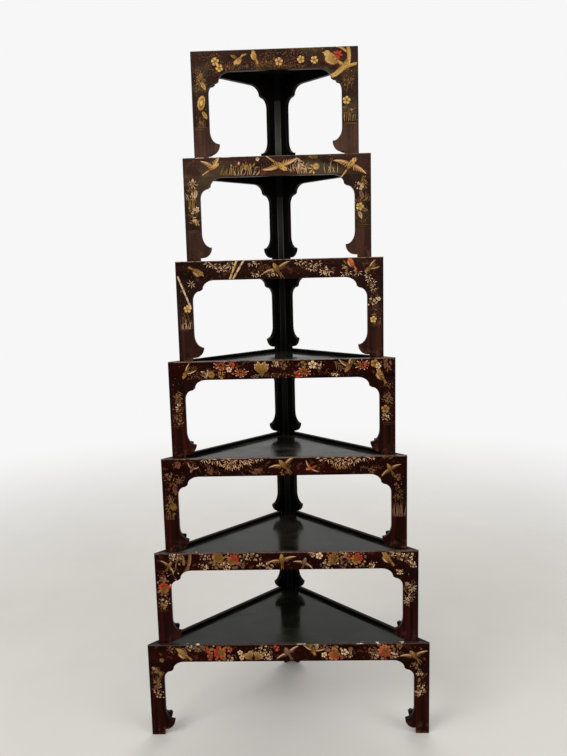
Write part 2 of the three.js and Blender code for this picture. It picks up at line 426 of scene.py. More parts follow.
    def rim_highlight_and_bites(self, ground: Value, place: Value, height: Value) -> Value:
        """Draws a broken pale line under the rim's top edge, a painted highlight along that arris, and the
        bites worn out of that edge.
        """
        over = height % PITCH
        # Painted highlight: a pale line just under the rim's top edge, broken by noise.
        line = over.span(0.0058, 0.0068) * over.span(0.0076, 0.0082, 1.0, 0.0)
        line = line * (height.span(1.2, 1.3, 1.0, 0.5) * height.span(0.26, 0.7, 0.25, 1.0))
        broken = place.scaled((60.0, 60.0, 60.0)).noise(1.0, 4.0, 0.65).span(0.4, 0.52, 0.15, 0.7)
        ground = (line * broken).blend(ground, (158, 130, 112))
        rim = over.span(0.0062, 0.0076) * over.span(0.012, 0.016, 1.0, 0.0)
        bitten = place.scaled((26.0, 26.0, 140.0)).noise(1.0, 3.0, 0.6).span(0.632, 0.65)
        return (rim * bitten).blend(ground, self.chip)

    def lit_edges(self, ground: Value, place: Value, height: Value) -> Value:
        """Puts painted light and shade on a back post: painted highlights near its two edges, black sides
        beyond the painted light, and painted shade under the shelf above.
        """
        over = (height + SLACK) % PITCH
        side = place.part("X").calc("ABSOLUTE")
        # Painted highlights: a pale line near each edge of the post, brighter higher up.
        glint = side.span(0.0054, 0.006) * height.span(0.9, 1.3, 0.05, 0.5)
        ground = glint.blend(ground, (118, 118, 108))
        # Painted shade: black at the sides, deepening up the post from 60 mm, and full under the shelf above.
        dark = side.span(0.0073, 0.0078).most(over.span(0.06, self.painted_shade_above, 0.0, 0.62))
        return dark.most(over.span(self.painted_shade_above, self.painted_shade_above + 0.003)).blend(ground, (13, 11, 12))


# Front rail and leg: their lighter high colours on the upper tables are painted light from above.
FRONT_RAIL = Lacquer(
    "front_rail_lacquer", (17, 3, 2), (27, 6, 4), (56, 15, 9), (120, 84, 66), deep_high=(34, 22, 19),
    warm_high=(54, 36, 30), streak_high=(74, 46, 36), streak_share=0.45, wear=0.78, specular=0.02, powder=0.7,
    chip=(206, 192, 168), rim_highlight_and_chips=True, dust=0.02, rise=(0.98, 1.42), covered=0.198,
)
FRONT_LEG = Lacquer(
    "front_leg_lacquer", (16, 4, 3), (25, 8, 6), (62, 20, 14), (112, 76, 58), Run.DOWN_LEG,
    deep_high=(52, 37, 30), warm_high=(78, 57, 47), streak_high=(98, 66, 52), streak_share=0.6, wear=0.74,
    specular=0.02, powder=0.55, chip=(186, 164, 138), foot_wear=True, dust=0.02, rise=(0.8, 1.5),
    drawn_above=0.072, covered=0.198,
)
DARK_RAIL = Lacquer(
    "side_rail_lacquer", (5, 4, 4), (8, 6, 5), (14, 8, 7), (92, 72, 60), streak_share=0.35, wear=0.62,
    wear_width=1.4, dust=0.03, specular=0.16, covered=0.198, covered_high=0.85,
)
DARK_LEG = Lacquer(
    "side_leg_lacquer", (3, 3, 3), (5, 4, 4), (12, 7, 7), (112, 92, 78), Run.DOWN_LEG, deep_high=(11, 9, 9),
    warm_high=(17, 13, 12), streak_share=0.4, wear=0.64, wear_width=1.4, dust=0.02, specular=0.06,
    covered=0.198, covered_high=0.85,
)
OUTER_RAIL = Lacquer(
    "outer_rail_lacquer", (15, 11, 10), (27, 19, 16), (48, 29, 22), (118, 90, 74), wear=0.78, wear_width=1.8,
    dust=0.06, specular=0.3, gloss=0.2, chip=(168, 146, 122),
)
OUTER_LEG = Lacquer(
    "outer_leg_lacquer", (15, 11, 10), (27, 19, 16), (52, 30, 23), (118, 90, 74), Run.DOWN_LEG,
    streak_share=0.55, wear=0.76, wear_width=1.8, dust=0.05, specular=0.3, gloss=0.2, chip=(168, 146, 122),
    foot_wear=True,
)
# Back post: black lacquer; its pale face on the upper tables is a painted reflection of light.
POST = Lacquer(
    "back_post_lacquer", (3, 4, 4), (6, 7, 7), (8, 9, 9), (92, 80, 66), Run.DOWN_LEG, deep_high=(74, 74, 64),
    warm_high=(94, 92, 80), streak_share=0.1, wear=0.4, wear_width=1.0, dust=0.03, gloss=0.35, specular=0.14,
    rise=(1.1, 1.5), painted_shade_above=0.168,
)
RIM_TOP = Lacquer(
    "rim_top_lacquer", (24, 15, 12), (40, 27, 22), (54, 36, 28), (132, 108, 90), Run.OVER_SHELF, wear=0.82,
    wear_width=2.4, dust=0.2, gloss=0.3, chip=(214, 202, 180), specular=0.2, rim_highlight_and_chips=True,
)
SIDE_TOP = Lacquer(
    "side_rim_top_lacquer", (8, 7, 6), (13, 10, 9), (22, 15, 12), (98, 76, 62), Run.OVER_SHELF, wear=0.7,
    wear_width=1.8, dust=0.06, gloss=0.4, specular=0.08,
)
SHELF = Lacquer(
    "shelf_lacquer", (27, 27, 20), (35, 35, 27), (34, 33, 25), (70, 56, 46), Run.OVER_SHELF, streak_share=0.3,
    deep_high=(56, 55, 47), warm_high=(68, 66, 57), streak_high=(62, 59, 50), rise=(0.3, 0.95), wear=0.35,
    dust=0.03, gloss=0.09, dull=0.2, scratches=0.3, specular=0.3, sheen=(1.0, 0.98, 0.88), cloudy=0.85,
)
UNDERSIDE = Lacquer(
    "underside_lacquer", (7, 6, 6), (12, 10, 9), (16, 12, 10), (60, 48, 42), Run.OVER_SHELF, wear=0.3,
    dust=0.06, gloss=0.45, dull=0.7, specular=0.2,
)


class Ink(Enum):
    """Tints of the raised work: name, dark end, light end, edge, metallic, roughness, rubbed share."""

    GOLD = ("gold", (78, 48, 14), (184, 136, 64), (214, 176, 116), 0.25, 0.4, 0.4)
    BRIGHT = ("bright_gold", (154, 106, 46), (230, 188, 110), (226, 192, 132), 0.2, 0.38, 0.3)
    PALE = ("pale_gold", (128, 86, 60), (240, 204, 162), (226, 188, 150), 0.1, 0.45, 0.3)
    AMBER = ("amber", (140, 60, 26), (214, 124, 64), (226, 156, 104), 0.05, 0.42, 0.3)
    CORAL = ("coral", (116, 24, 12), (208, 72, 40), (220, 114, 80), 0.05, 0.42, 0.3)
    RINGED = ("ringed", (86, 58, 42), (136, 98, 70), (232, 202, 166), 0.05, 0.45, 0.3)
    FAINT = ("faint_gold", (76, 52, 32), (142, 106, 68), (120, 90, 60), 0.2, 0.45, 0.55)
    RUSSET = ("russet", (74, 29, 21), (142, 82, 60), (64, 28, 20), 0.1, 0.45, 0.55)
    OLIVE = ("olive_gold", (66, 44, 16), (138, 102, 42), (80, 56, 24), 0.15, 0.45, 0.35)

    @cache
    def material(self) -> bpy.types.Material:
        """Builds the tint's material, once: tone along each stroke, an edge colour at its rim, veined and
        rubbed.
        """
        name, low, high, edge, metallic, roughness, rubbed = self.value
        material, graph, shader = new_material(f"{name}_ornament")
        leaf = graph.effect(Effect.LEAF, Veins=5.0, Rubbed=rubbed)
        tone, rim = (
            graph.get("ShaderNodeAttribute", output="Fac", attribute_name=key) for key in ("tone", "rim")
        )
        tint = tone.blend(low, high)
        tint = ((1.0 - leaf["Vein"]) * 0.3).blend(tint, low)
        # Edge colour at a stroke's rim: on most tints lighter, partly a pale outline and partly a painted
        # highlight along the raised edge.
        tint = rim.span(0.62, 1.0, 0.0, 0.75).blend(tint, edge)
        tint = (leaf["Grain"] * 0.2).blend(tint, high)
        tint = (leaf["Bare"] * 0.7).blend(tint, (62, 30, 22))
        bump = {"Height": leaf["Vein"], "Distance": 0.1 * MM, "Strength": 0.4}
        graph.fill(shader, {
            "Base Color": tint, "Roughness": leaf["Bare"].span(0.0, 1.0, roughness, 0.3),
            "Metallic": metallic, "Specular IOR Level": 0.14, "Normal": graph.get("ShaderNodeBump", bump),
        })
        return material


GOLD, BRIGHT, PALE, AMBER, CORAL, RINGED, FAINT, RUSSET, OLIVE = Ink


# Raised work on the fronts


class Shape(Enum):
    """Outline of a stroke: its half width is t^a (1 - t)^b over its greatest value, t along the stroke."""

    LEAF = (0.8, 0.9)
    PETAL = (0.9, 0.35)
    SCALLOP = (0.62, 0.42)
    FEATHER = (0.35, 0.95)
    TWIG = (0.1, 0.25)
    DOT = (0.5, 0.5)


LEAF, PETAL, SCALLOP, FEATHER, TWIG, DOT = Shape
RINGS = np.array([0.07, 0.27, 0.52, 0.77, 0.94])  # where a stroke's sections stand along it
ACROSS = np.array([-1.0, -0.62, 0.0, 0.62, 1.0])  # where a section's points lie across it
SUNK = -0.15  # how deep a stroke's edge lies in the lacquer, in millimetres
TOP = 242.2  # height above the foot up to which a front is decorated, in millimetres
ARRIS = 3.0  # width kept free along a front's outer edge, in millimetres
SHANK = 37.2  # width of a leg up to which it is decorated, from its outer edge, in millimetres
PLAIN = 72.0  # height above the foot below which a leg is plain, in millimetres


def band(rings: int, around: int) -> np.ndarray:
    """Gives the four-cornered faces between rings of points, each ring closed."""
    ring, spot = np.meshgrid(np.arange(rings - 1), np.arange(around), indexing="ij")
    after = (spot + 1) % around
    low, high = ring * around, (ring + 1) * around
    return np.stack([low + spot, high + spot, high + after, low + after], axis=-1).reshape(-1, 4)


def fan(tip: int, ring: np.ndarray) -> np.ndarray:
    """Gives the three-cornered faces from one point to a closed ring of points."""
    return np.stack([np.full(len(ring), tip), ring, np.roll(ring, -1)], axis=-1)


def strokes_mesh(name: str, rows: np.ndarray, front: "Front") -> bpy.types.Mesh:
    """Builds many raised strokes as one mesh of closed bodies.

    The middle line of a stroke is the quadratic curve through its three points. At five places along it
    a section stands square to the line: five points from edge to edge, raised as the square root of one
    minus the square of the share across, its edges sunk a little into the lacquer. A point at each end
    closes the body.

    Args:
        name: the mesh's name.
        rows: a row a stroke: start, bend and end (x, height each), half width, the two powers of its
            outline, rise, lift, tone at the start and at the end. Lengths in millimetres.
        front: the front that the strokes lie on.

    Returns:
        The mesh, with the UV map Stroke and the attributes tone and rim.
    """
    count, rings, across = len(rows), len(RINGS), len(ACROSS)
    start, bend, end = (rows[:, k : k + 2][:, None, :] for k in (0, 2, 4))
    width, power_a, power_b, rise, lift, tone0, tone1 = (rows[:, k][:, None] for k in range(6, 13))
    t = RINGS[None, :, None]
    line = (1 - t) ** 2 * start + 2 * t * (1 - t) * bend + t**2 * end
    way = 2 * (1 - t) * (bend - start) + 2 * t * (end - bend)
    way /= np.maximum(np.linalg.norm(way, axis=2, keepdims=True), 1e-9)
    left = np.stack([-way[..., 1], way[..., 0]], axis=2)
    peak = power_a / (power_a + power_b)
    most = peak**power_a * (1 - peak) ** power_b
    half = width * RINGS**power_a * (1 - RINGS) ** power_b / most
    flat = line[:, :, None, :] + left[:, :, None, :] * (half[:, :, None] * ACROSS)[..., None]
    dome = np.sqrt(np.maximum(1 - ACROSS**2, 0.0))
    swell = np.minimum(1.0, 0.35 + half / np.maximum(width, 1e-9) * 0.65)
    high = (lift[:, :, None] + rise[:, :, None] * dome * swell[:, :, None]) * (dome > 0) + SUNK * (dome == 0)
    flat = np.concatenate([flat.reshape(count, rings * across, 2), start, end], axis=1)
    high = np.concatenate([high.reshape(count, rings * across), np.full((count, 2), SUNK)], axis=1)
    flat = front.held_inside(flat.reshape(-1, 2))
    high = high.reshape(-1)
    points = np.stack([flat[:, 0] * MM, front.face - high * MM, front.foot + flat[:, 1] * MM], axis=1)

    spots, tip = np.arange(across), rings * across
    fans = np.concatenate([fan(tip, spots), fan(tip + 1, tip - across + spots)[:, [0, 2, 1]]])
    step = np.arange(count)[:, None, None] * (tip + 2)
    quads = (band(rings, across)[None] + step).reshape(-1, 4)
    fans = (fans[None] + step).reshape(-1, 3)

    along = np.concatenate([np.repeat(RINGS, across), [0.0, 1.0]])
    side = np.concatenate([np.tile(ACROSS, rings), [0.0, 0.0]])
    tone = np.clip(tone0 + (tone1 - tone0) * along[None, :], 0.0, 1.0).reshape(-1)
    edge = np.tile(np.where(np.arange(len(side)) < tip, np.abs(side), 1.0), count)
    uv = np.tile(np.stack([side * 0.5 + 0.5, along], axis=1), (count, 1))
    return mesh_from(name, points, [quads, fans], uv, {"tone": tone, "rim": edge})


def mesh_from(name: str, points: np.ndarray, faces: list[np.ndarray], uv: np.ndarray,
              values: dict[str, np.ndarray]) -> bpy.types.Mesh:
    """Puts arrays of points and faces into a new smooth mesh.

    Args:
        name: the mesh's name.
        points: one row of three a point, in metres.
        faces: arrays of faces, each with one number of corners.
        uv: one row of two a point, for the map Stroke.
        values: numbers a point, by attribute name.

    Returns:
        The mesh.
    """
    mesh = bpy.data.meshes.new(name)
    corners = np.concatenate([part.reshape(-1) for part in faces]).astype(np.int32)
    sizes = np.concatenate([np.full(len(part), part.shape[1]) for part in faces])
    starts = (np.cumsum(sizes) - sizes).astype(np.int32)
    mesh.vertices.add(len(points))
    mesh.vertices.foreach_set("co", points.astype(np.float32).reshape(-1))
    mesh.loops.add(len(corners))
    mesh.loops.foreach_set("vertex_index", corners)
    mesh.polygons.add(len(starts))
    mesh.polygons.foreach_set("loop_start", starts)
    mesh.update(calc_edges=True)
    mesh.polygons.foreach_set("use_smooth", np.ones(len(starts), bool))
    mesh.uv_layers.new(name="Stroke").data.foreach_set("uv", uv[corners].astype(np.float32).reshape(-1))
    for key, value in values.items():
        mesh.attributes.new(key, "FLOAT", "POINT").data.foreach_set("value", value.astype(np.float32))
    mesh.validate()
    return mesh


@dataclass
class Front:
    """The decorated front of one table, and its strokes, in millimetres from its middle and foot."""

    number: int
    half: float
    face: float
    foot: float
    rows: dict[Ink, list[tuple[float, ...]]] = field(default_factory=lambda: {ink: [] for ink in Ink})
    rng: np.random.Generator = field(init=False)

    @classmethod
    def of_tier(cls, number: int) -> "Front":
        """Measures the front of one table from its rail and leg in the frame."""
        low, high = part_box(f"tier{number}_front_rail")
        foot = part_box(f"tier{number}_left_leg")[0].z
        return cls(number, (high.x - low.x) / 2 / MM, low.y, foot)

    def __post_init__(self) -> None:
        """Seeds this front's own small differences."""
        self.rng = np.random.default_rng(730 + self.number)

    def vary(self, low: float, high: float) -> float:
        """Draws one random number between two limits."""
        return self.rng.uniform(low, high)

    def held_inside(self, flat: np.ndarray) -> np.ndarray:
        """Keeps points on the board.

        The board's lower edge, by the distance s from the outer edge, is the plain shank up to s = 38, a
        quarter of an ellipse from (38, 150) to (56, 173), a short slope to (62, 177), a quarter of an
        ellipse to (90, 198), and level from there on.

        Args:
            flat: rows of x from the middle and height above the foot.

        Returns:
            The rows, each moved straight up, or out to the shank, where it lay off the board.
        """
        half = self.half
        out = np.clip(flat[:, 0], ARRIS - half, half - ARRIS)
        s = half - np.abs(out)
        shank = (flat[:, 1] < 150.0) & (s > SHANK)
        s = np.where(shank, SHANK, s)
        cusp = 151.0 + 23.0 * np.sqrt(np.clip(1 - ((56.0 - s) / 18.0) ** 2, 0.0, 1.0))
        haunch = 178.0 + 21.0 * np.sqrt(np.clip(1 - ((90.0 - s) / 28.0) ** 2, 0.0, 1.0))
        low = np.select([s <= 38.0, s <= 56.0, s <= 62.0, s <= 90.0],
                        [PLAIN, cusp, 175.0 + (s - 56.0) * 0.7, haunch], 199.0)
        low = np.where(shank, PLAIN, low)
        return np.stack([np.sign(out) * (half - s), np.clip(flat[:, 1], low, TOP)], axis=1)

    def stroke(self, ink: Ink, start: complex, end: complex, width: float, shape: Shape = LEAF,
               bow: float = 0.0, tone: Pair = (0.2, 0.9), rise: float = 0.35, lift: float = 0.0) -> None:
        """Draws one raised stroke.

        Args:
            ink: its tint.
            start: where it starts, x and height as one complex number.
            end: where it ends.
            width: half its width.
            shape: its outline.
            bow: how far its bend stands to the left, as a share of its length.
            tone: how light it is at the start and at the end.
            rise: how high it stands.
            lift: how far it is raised over what it lies on.
        """
        if ink is PALE and self.number > 6:
            ink = BRIGHT
        bend = (start + end) / 2 + 1j * (end - start) * bow
        shift, over = self.vary(-0.12, 0.12), self.vary(0.0, 0.05)
        self.rows[ink].append((
            start.real, start.imag, bend.real, bend.imag, end.real, end.imag, width, *shape.value,
            rise, lift + over, tone[0] + shift, tone[1] + shift,
        ))

    def dot(self, ink: Ink, at: complex, radius: float, tone: float = 0.8, lift: float = 0.0) -> None:
        """Draws one raised dot."""
        way = unit(self.vary(0, 360)) * radius
        self.stroke(ink, at - way, at + way, radius, DOT, 0.0, (tone, tone), 0.2 + 0.06 * radius, lift)

    def draw(self, kind: "Kind", ink: Ink, rows: list[tuple]) -> None:
        """Draws motifs of one kind and tint.

        Args:
            kind: what they show.
            ink: their tint.
            rows: the place, size, turn and wings of each, as LAYOUT has them.
        """
        paint, usual = kind.value
        for along, height, size, *rest in rows:
            turn, *wings = rest or [usual]
            if 0 < along <= 1:
                x = self.half * (2 * along - 1)
            else:
                x = self.half + along if along < 0 else along - self.half
            paint(Motif(self, complex(x, height), size, turn, ink, *wings))

    def scatter(self) -> None:
        """Adds thin sprays, buds and dots between the motifs, more of them along the rail."""
        span, vary = self.half - 14, self.vary
        for k in range(int(self.half / 11)):
            at = complex(vary(-span, span), vary(203, 236))
            Motif(self, at, vary(9, 19), vary(0, 360), (FAINT, RUSSET, RUSSET)[k % 3]).fine_spray()
        for k in range(int(self.half / 2.2)):
            at = complex(vary(-span, span), vary(201, 240))
            self.dot((FAINT, RUSSET, GOLD)[k % 3], at, vary(0.4, 0.95))
        for side in (-1, 1):
            for k in range(16):
                at = complex(side * (self.half - vary(6, 34)), vary(96, 196))
                self.dot((FAINT, RUSSET, PALE)[k % 3], at, vary(0.4, 0.95))
            for k in range(4):
                at = complex(side * (self.half - vary(10, 30)), vary(100, 180))
                Motif(self, at, vary(9, 16), vary(60, 120), (FAINT, RUSSET)[k % 2]).fine_spray()

    def build(self) -> None:
        """Makes one piece of each tint's strokes and lets it ride on the table."""
        for ink, rows in self.rows.items():
            if rows:
                name = f"tier{self.number}_{ink.value[0]}_ornament"
                mesh = strokes_mesh(name, np.array(rows), self)
                mesh.materials.append(ink.material())
                add_piece(name, mesh, f"tier{self.number}", "red_lacquer")


@dataclass(frozen=True)
class Motif:
    """One motif on a front: its place and size in millimetres, its turn in degrees, and its tint.

    Places within it are shares of its size from its place, as complex numbers along x and up.
    """

    front: Front
    at: complex
    size: float
    turn: float
    ink: Ink
    wings: Pair = (0.0, 0.0)

    def vary(self, low: float, high: float) -> float:
        """Draws one random number between two limits."""
        return self.front.vary(low, high)

    def line(self, start: complex, end: complex, width: float, *looks: object, ink: Ink | None = None) -> None:
        """Draws a stroke of a half width in millimetres; its looks are as in Front.stroke."""
        ends = self.at + start * self.size, self.at + end * self.size
        self.front.stroke(ink or self.ink, *ends, width, *looks)

    def petal(self, start: complex, end: complex, width: float, *looks: object, ink: Ink | None = None) -> None:
        """Draws a stroke whose half width is a share of the motif's size."""
        self.line(start, end, self.size * width, *looks, ink=ink)

    def disc(self, at: complex, radius: float, tone: float, lift: float = 0.0, ink: Ink | None = None) -> None:
        """Draws a dot whose radius is a share of the motif's size."""
        self.front.dot(ink or self.ink, self.at + at * self.size, self.size * radius, tone, lift)

    @property
    def heart(self) -> Ink:
        """Gives the tint of a flower's middle."""
        return {CORAL: AMBER, GOLD: RUSSET, PALE: FAINT}.get(self.ink, GOLD)

    # Flowers

    def blossom(self) -> None:
        """Draws a five-petalled plum blossom with its stamens."""
        for k in range(5):
            way = unit(self.turn + 72 * k)
            self.petal(way * 0.08, way, 0.44, PETAL, 0.0, (0.3, 1.1), 0.3)
            if self.size > 5:
                stamen = unit(self.turn + 72 * k + 22) * 0.55
                self.petal(0, stamen, 0.04, TWIG, 0.0, (0.2, 0.9), 0.35, 0.26, ink=self.heart)
        self.disc(0, 0.19, 0.8, 0.3, self.heart)

    def floret(self) -> None:
        """Draws a small flower of five dots, some of them rounds with a pale edge."""
        for k in range(5):
            tint = RINGED if self.ink is PALE and k % 2 and self.front.number < 5 else self.ink
            self.disc(unit(self.turn + 72 * k) * 0.62, 0.4, self.vary(0.4, 1.1), 0.04 * (k % 2), tint)
        self.disc(0, 0.24, 0.2, 0.2, self.heart)

    def aster(self) -> None:
        """Draws a broad flower of narrow spread petals with pale tips round an orange and golden middle."""
        tints = (self.ink, RUSSET, self.ink, PALE), (self.ink, AMBER, self.ink, RUSSET), (AMBER, GOLD) * 2
        for level, (count, reach) in enumerate(((19, 1.3), (15, 0.95), (9, 0.6))):
            for k in range(count):
                way = unit(self.turn + 360 * (k + 0.5 * level) / count + self.vary(-8, 8))
                way = complex(way.real * 1.3, way.imag * 0.86) * reach * self.vary(0.75, 1.08)
                self.petal(way * 0.42, way, 0.1, PETAL, self.vary(-0.12, 0.12), (-0.4, 1.0), 0.3,
                           0.12 * level, ink=tints[level][k % 4])
                if not level and k % 2:
                    self.disc(way * 1.06, 0.12, 0.9, 0.1, PALE)
        self.disc(-unit(self.turn) * 0.25, 0.32, 0.1, 0.45, GOLD)

    def peony(self) -> None:
        """Draws a full peony: rounds, two scalloped rings from red over orange to gold, and a dull heart."""
        for k in range(13):
            way = unit(self.turn + 27.7 * k + self.vary(-9, 9)) * self.vary(1.16, 1.46)
            wide = self.vary(0.15, 0.28) * (0.7 if k % 4 == 3 else 1.0)
            self.disc(way, wide, self.vary(0.0, 0.9), ink=(RINGED, FAINT, RINGED, PALE)[k % 4])
        warm = {CORAL: (CORAL, AMBER, GOLD), AMBER: (AMBER, CORAL, GOLD)}.get(self.ink, (GOLD, GOLD, AMBER))
        for level, (count, reach, wide) in enumerate(((11, 1.05, 0.23), (9, 0.78, 0.19))):
            for k in range(count):
                turned = 360 * (k + 0.5 * level) / count + self.vary(-6, 6)
                lean = math.cos(math.radians(turned)) - 0.2 * level + self.vary(-0.3, 0.3)
                tint = warm[0] if lean > -0.1 else warm[1] if lean > -0.9 else warm[2]
                way = unit(self.turn + turned) * reach * self.vary(0.84, 1.06)
                self.petal(way * 0.34, way, wide, SCALLOP, self.vary(-0.1, 0.1), (-0.7, self.vary(0.4, 1.0)),
                           0.4, 0.14 * level, ink=tint)
        heart = -unit(self.turn) * 0.12
        self.disc(heart, 0.5, 0.45, 0.2, OLIVE)
        for k in range(16):
            way = unit(self.turn + 360 * k / 16)
            self.petal(heart + way * 0.16, heart + way * (0.52 if k % 2 else 0.42), 0.04, PETAL, 0.05,
                       (0.0, 1.1), 0.2, 0.72, ink=OLIVE)
        for k in range(6):
            self.disc(heart + unit(self.turn + 60 * k) * 0.12, 0.05, 0.1, 0.95, GOLD)

    def chrysanthemum(self) -> None:
        """Draws a round flower of many narrow petals."""
        for level, (count, reach) in enumerate(((16, 1.0), (14, 0.74), (9, 0.48))):
            for k in range(count):
                way = unit(self.turn + 360 * (k + 0.5 * (level % 2)) / count)
                tone = 0.1 + 0.1 * level, 0.95
                self.petal(way * 0.14, way * reach, 0.12, PETAL, 0.0, tone, 0.28, 0.12 * level)
        self.disc(0, 0.2, 0.6, 0.35, self.heart)

    def fan_flower(self) -> None:
        """Draws a flower from the side: two upright lobes of petals with pale tips, and a cup."""
        for side in (-1, 1):
            for k, reach in enumerate((0.9, 1.04, 0.94, 0.98, 0.78)):
                way = unit(self.turn + side * (6 + 8.5 * k)) * reach * self.vary(0.95, 1.04)
                self.petal(0, way, 0.15, PETAL, -side * 0.05 * k, (-0.2, 0.75), 0.35, 0.02 * k)
                self.petal(way * 0.86, way * 1.02, 0.05, DOT, 0.0, (0.2, 0.8), 0.2, 0.42, ink=PALE)
        for turn in (-26, 0, 26):
            self.petal(-unit(self.turn) * 0.12, unit(self.turn + turn) * 0.36, 0.09, LEAF, 0.0, (0.0, 0.6),
                       0.35, 0.3, ink=FAINT)

    def cluster(self) -> None:
        """Draws a bunch of small flowers, rounds with a pale edge and buds, with a few leaves under it."""
        under = RUSSET if self.ink is FAINT else FAINT
        replace(self, size=self.size * 0.95, turn=self.turn + 180, ink=under).leaves()
        count = max(3, int(self.size * 0.3))
        for k in range(count):
            at = self.at + unit(137.5 * k + self.turn) * self.size * 0.9 * math.sqrt((k + 0.4) / count)
            replace(self, at=at, size=self.vary(2.8, 4.3), turn=self.vary(0, 72)).floret()
        tints = self.ink, RINGED if self.ink is PALE else FAINT, self.ink, FAINT
        for k in range(int(self.size * 1.2)):
            far = unit(137.5 * k + 40) * self.size * self.vary(0.5, 1.3)
            at = self.at + complex(far.real * 1.25, far.imag)
            self.front.dot(tints[k % 4], at, self.vary(0.7, 2.1), self.vary(0.3, 1.1))

    def bud(self) -> None:
        """Draws a closed bud on its cup and stem."""
        way = unit(self.turn)
        for k in (-1, 1, 0):
            self.petal(-way * 0.5, way * (1.0 - 0.12 * abs(k)), 0.32, LEAF, 0.24 * k, (0.1, 0.9), 0.4,
                       0.1 * (k == 0))
        for turn in (-32, 32):
            self.petal(-way * 0.6, way * unit(turn) * 0.25, 0.14, LEAF, 0.0, (0.2, 0.9), 0.35, 0.2,
                       ink=self.heart)
        self.petal(-way * 0.5, -way * 1.3, 0.06, TWIG, 0.1, ink=FAINT)

    # Leaves and stems

    def leaves(self) -> None:
        """Draws four pointed leaves that spread from one point."""
        for k in range(4):
            way = unit(self.turn - 66 + 44 * k + self.vary(-9, 9))
            self.petal(way * 0.3, way * self.vary(0.8, 1.15), 0.15, LEAF, self.vary(-0.15, 0.15))

    def leaf_spray(self) -> None:
        """Draws a spray of pointed leaves along a thin stalk."""
        way = unit(self.turn)
        self.line(0, way, 0.35, TWIG, 0.06, (0.3, 0.5), 0.25)
        for k in range(9):
            root, side = way * (0.12 + 0.1 * k), -1 if k % 2 else 1
            tip = root + unit(self.turn + side * self.vary(24, 58)) * self.vary(0.3, 0.46)
            self.line(root, tip, max(0.9, self.size * 0.05), LEAF, side * -0.1, (0.15, 1.0))

    def star(self) -> None:
        """Draws narrow pointed leaves that spread all ways from one spot."""
        wide = self.size * 0.2 if self.ink is CORAL else 0.75
        for k in range(7):
            way = unit(self.turn + 51.4 * k + self.vary(-8, 8))
            self.line(way * 0.06, way * self.vary(0.7, 1.05), wide, LEAF, self.vary(-0.08, 0.08),
                      (0.2, 1.2), 0.28)

    def leaf(self) -> None:
        """Draws one broad leaf with its ribs."""
        way = unit(self.turn)
        self.petal(0, way, 0.24, LEAF, 0.08, (0.0, 0.8), 0.5)
        self.petal(0, way * 0.92, 0.025, TWIG, 0.08, (0.0, 0.3), 0.2, 0.5, ink=FAINT)
        for k in range(3):
            for turn in (-42, 42):
                root = way * (0.25 + 0.18 * k)
                self.petal(root, root + way * unit(turn) * 0.2, 0.016, TWIG, 0.0, (0.0, 0.3), 0.15, 0.5,
                           ink=FAINT)

    def fruit(self) -> None:
        """Draws a round ribbed fruit: three rounds laid on each other."""
        for k, share in enumerate((1.0, 0.72, 0.44)):
            way = unit(self.turn) / 2 * share
            self.petal(-way, way, 0.29 * share, DOT, 0.06, (0.2 * k, 0.7 + 0.1 * k), 0.5, 0.25 * k,
                       ink=GOLD if k == 1 else self.ink)

    def sprig(self, tints: tuple[Ink, ...], spread: float = 34.0) -> None:
        """Draws five narrow pointed leaves that fan out from one node, tint after tint."""
        for k in range(5):
            way = unit(self.turn + (k - 2) * spread + self.vary(-10, 10))
            self.line(way * 0.22, way * self.vary(0.7, 1.15), 0.85, LEAF, self.vary(-0.14, 0.14), (0.5, 1.3),
                      0.28, ink=tints[k % len(tints)])

    def bamboo(self) -> None:
        """Draws bamboo foliage: fans of narrow leaves along a twig."""
        count = max(2, round(self.size / 11.5))
        for k in range(count):
            at = self.at + unit(self.turn) * self.size * (k + 0.5) / count + 1j * self.vary(-3.5, 3.5)
            node = replace(self, at=at, size=self.vary(9.5, 12.5), turn=-90 + self.vary(-55, 55))
            node.sprig((RUSSET if k % 6 == 2 else self.ink,), 52.0)
            self.front.stroke(FAINT, at, at + unit(self.turn + 150) * 8, 0.25, TWIG, 0.1)

    def garland(self) -> None:
        """Draws a row of hanging fans of narrow leaves, the longest in the middle; size is its width."""
        groups = max(3, round(self.size / 16.5))
        tints = (self.ink, self.ink, GOLD), (self.ink, AMBER, self.ink), (self.ink, RUSSET, self.ink)
        for k in range(groups):
            share = 2 * (k + 0.5) / groups - 1
            at = self.at + complex(share * self.size / 2 + self.vary(-2, 2), self.vary(-2.0, 1.5))
            node = replace(self, at=at, size=15.0 - 4.0 * share**2, turn=-90 + 40 * share + self.vary(-12, 12))
            node.sprig(tints[k % 3])
            self.front.stroke(FAINT, at + 3j, at, 0.25, TWIG, 0.1)

    def heather(self) -> None:
        """Draws a low drift of tiny leaves, dots and hair-thin twigs; size is its width."""
        front, vary = self.front, self.vary
        for k in range(int(self.size / 5)):
            foot = self.at + complex(vary(-0.5, 0.5) * self.size, vary(-3, 3))
            far = unit(self.turn + vary(-70, 70)) * vary(6, 14)
            front.stroke(FAINT, foot, foot + far, 0.2, TWIG, vary(-0.25, 0.25), (0.0, 0.5), 0.15)
        other = AMBER if front.number > 5 else RUSSET
        for k in range(int(self.size * 1.6)):
            spot = self.at + complex(front.rng.normal(0, 0.3) * self.size, front.rng.normal(3.5, 5.0))
            tint = (self.ink, FAINT, self.ink, PALE, self.ink, GOLD, other)[k % 7]
            if k % 3:
                front.dot(tint, spot, vary(0.35, 0.9), vary(0.2, 1.0))
            else:
                far = unit(vary(0, 360)) * vary(1.6, 3.2)
                front.stroke(tint, spot, spot + far, 0.5, LEAF, 0.1, (0.0, 0.8), 0.2)

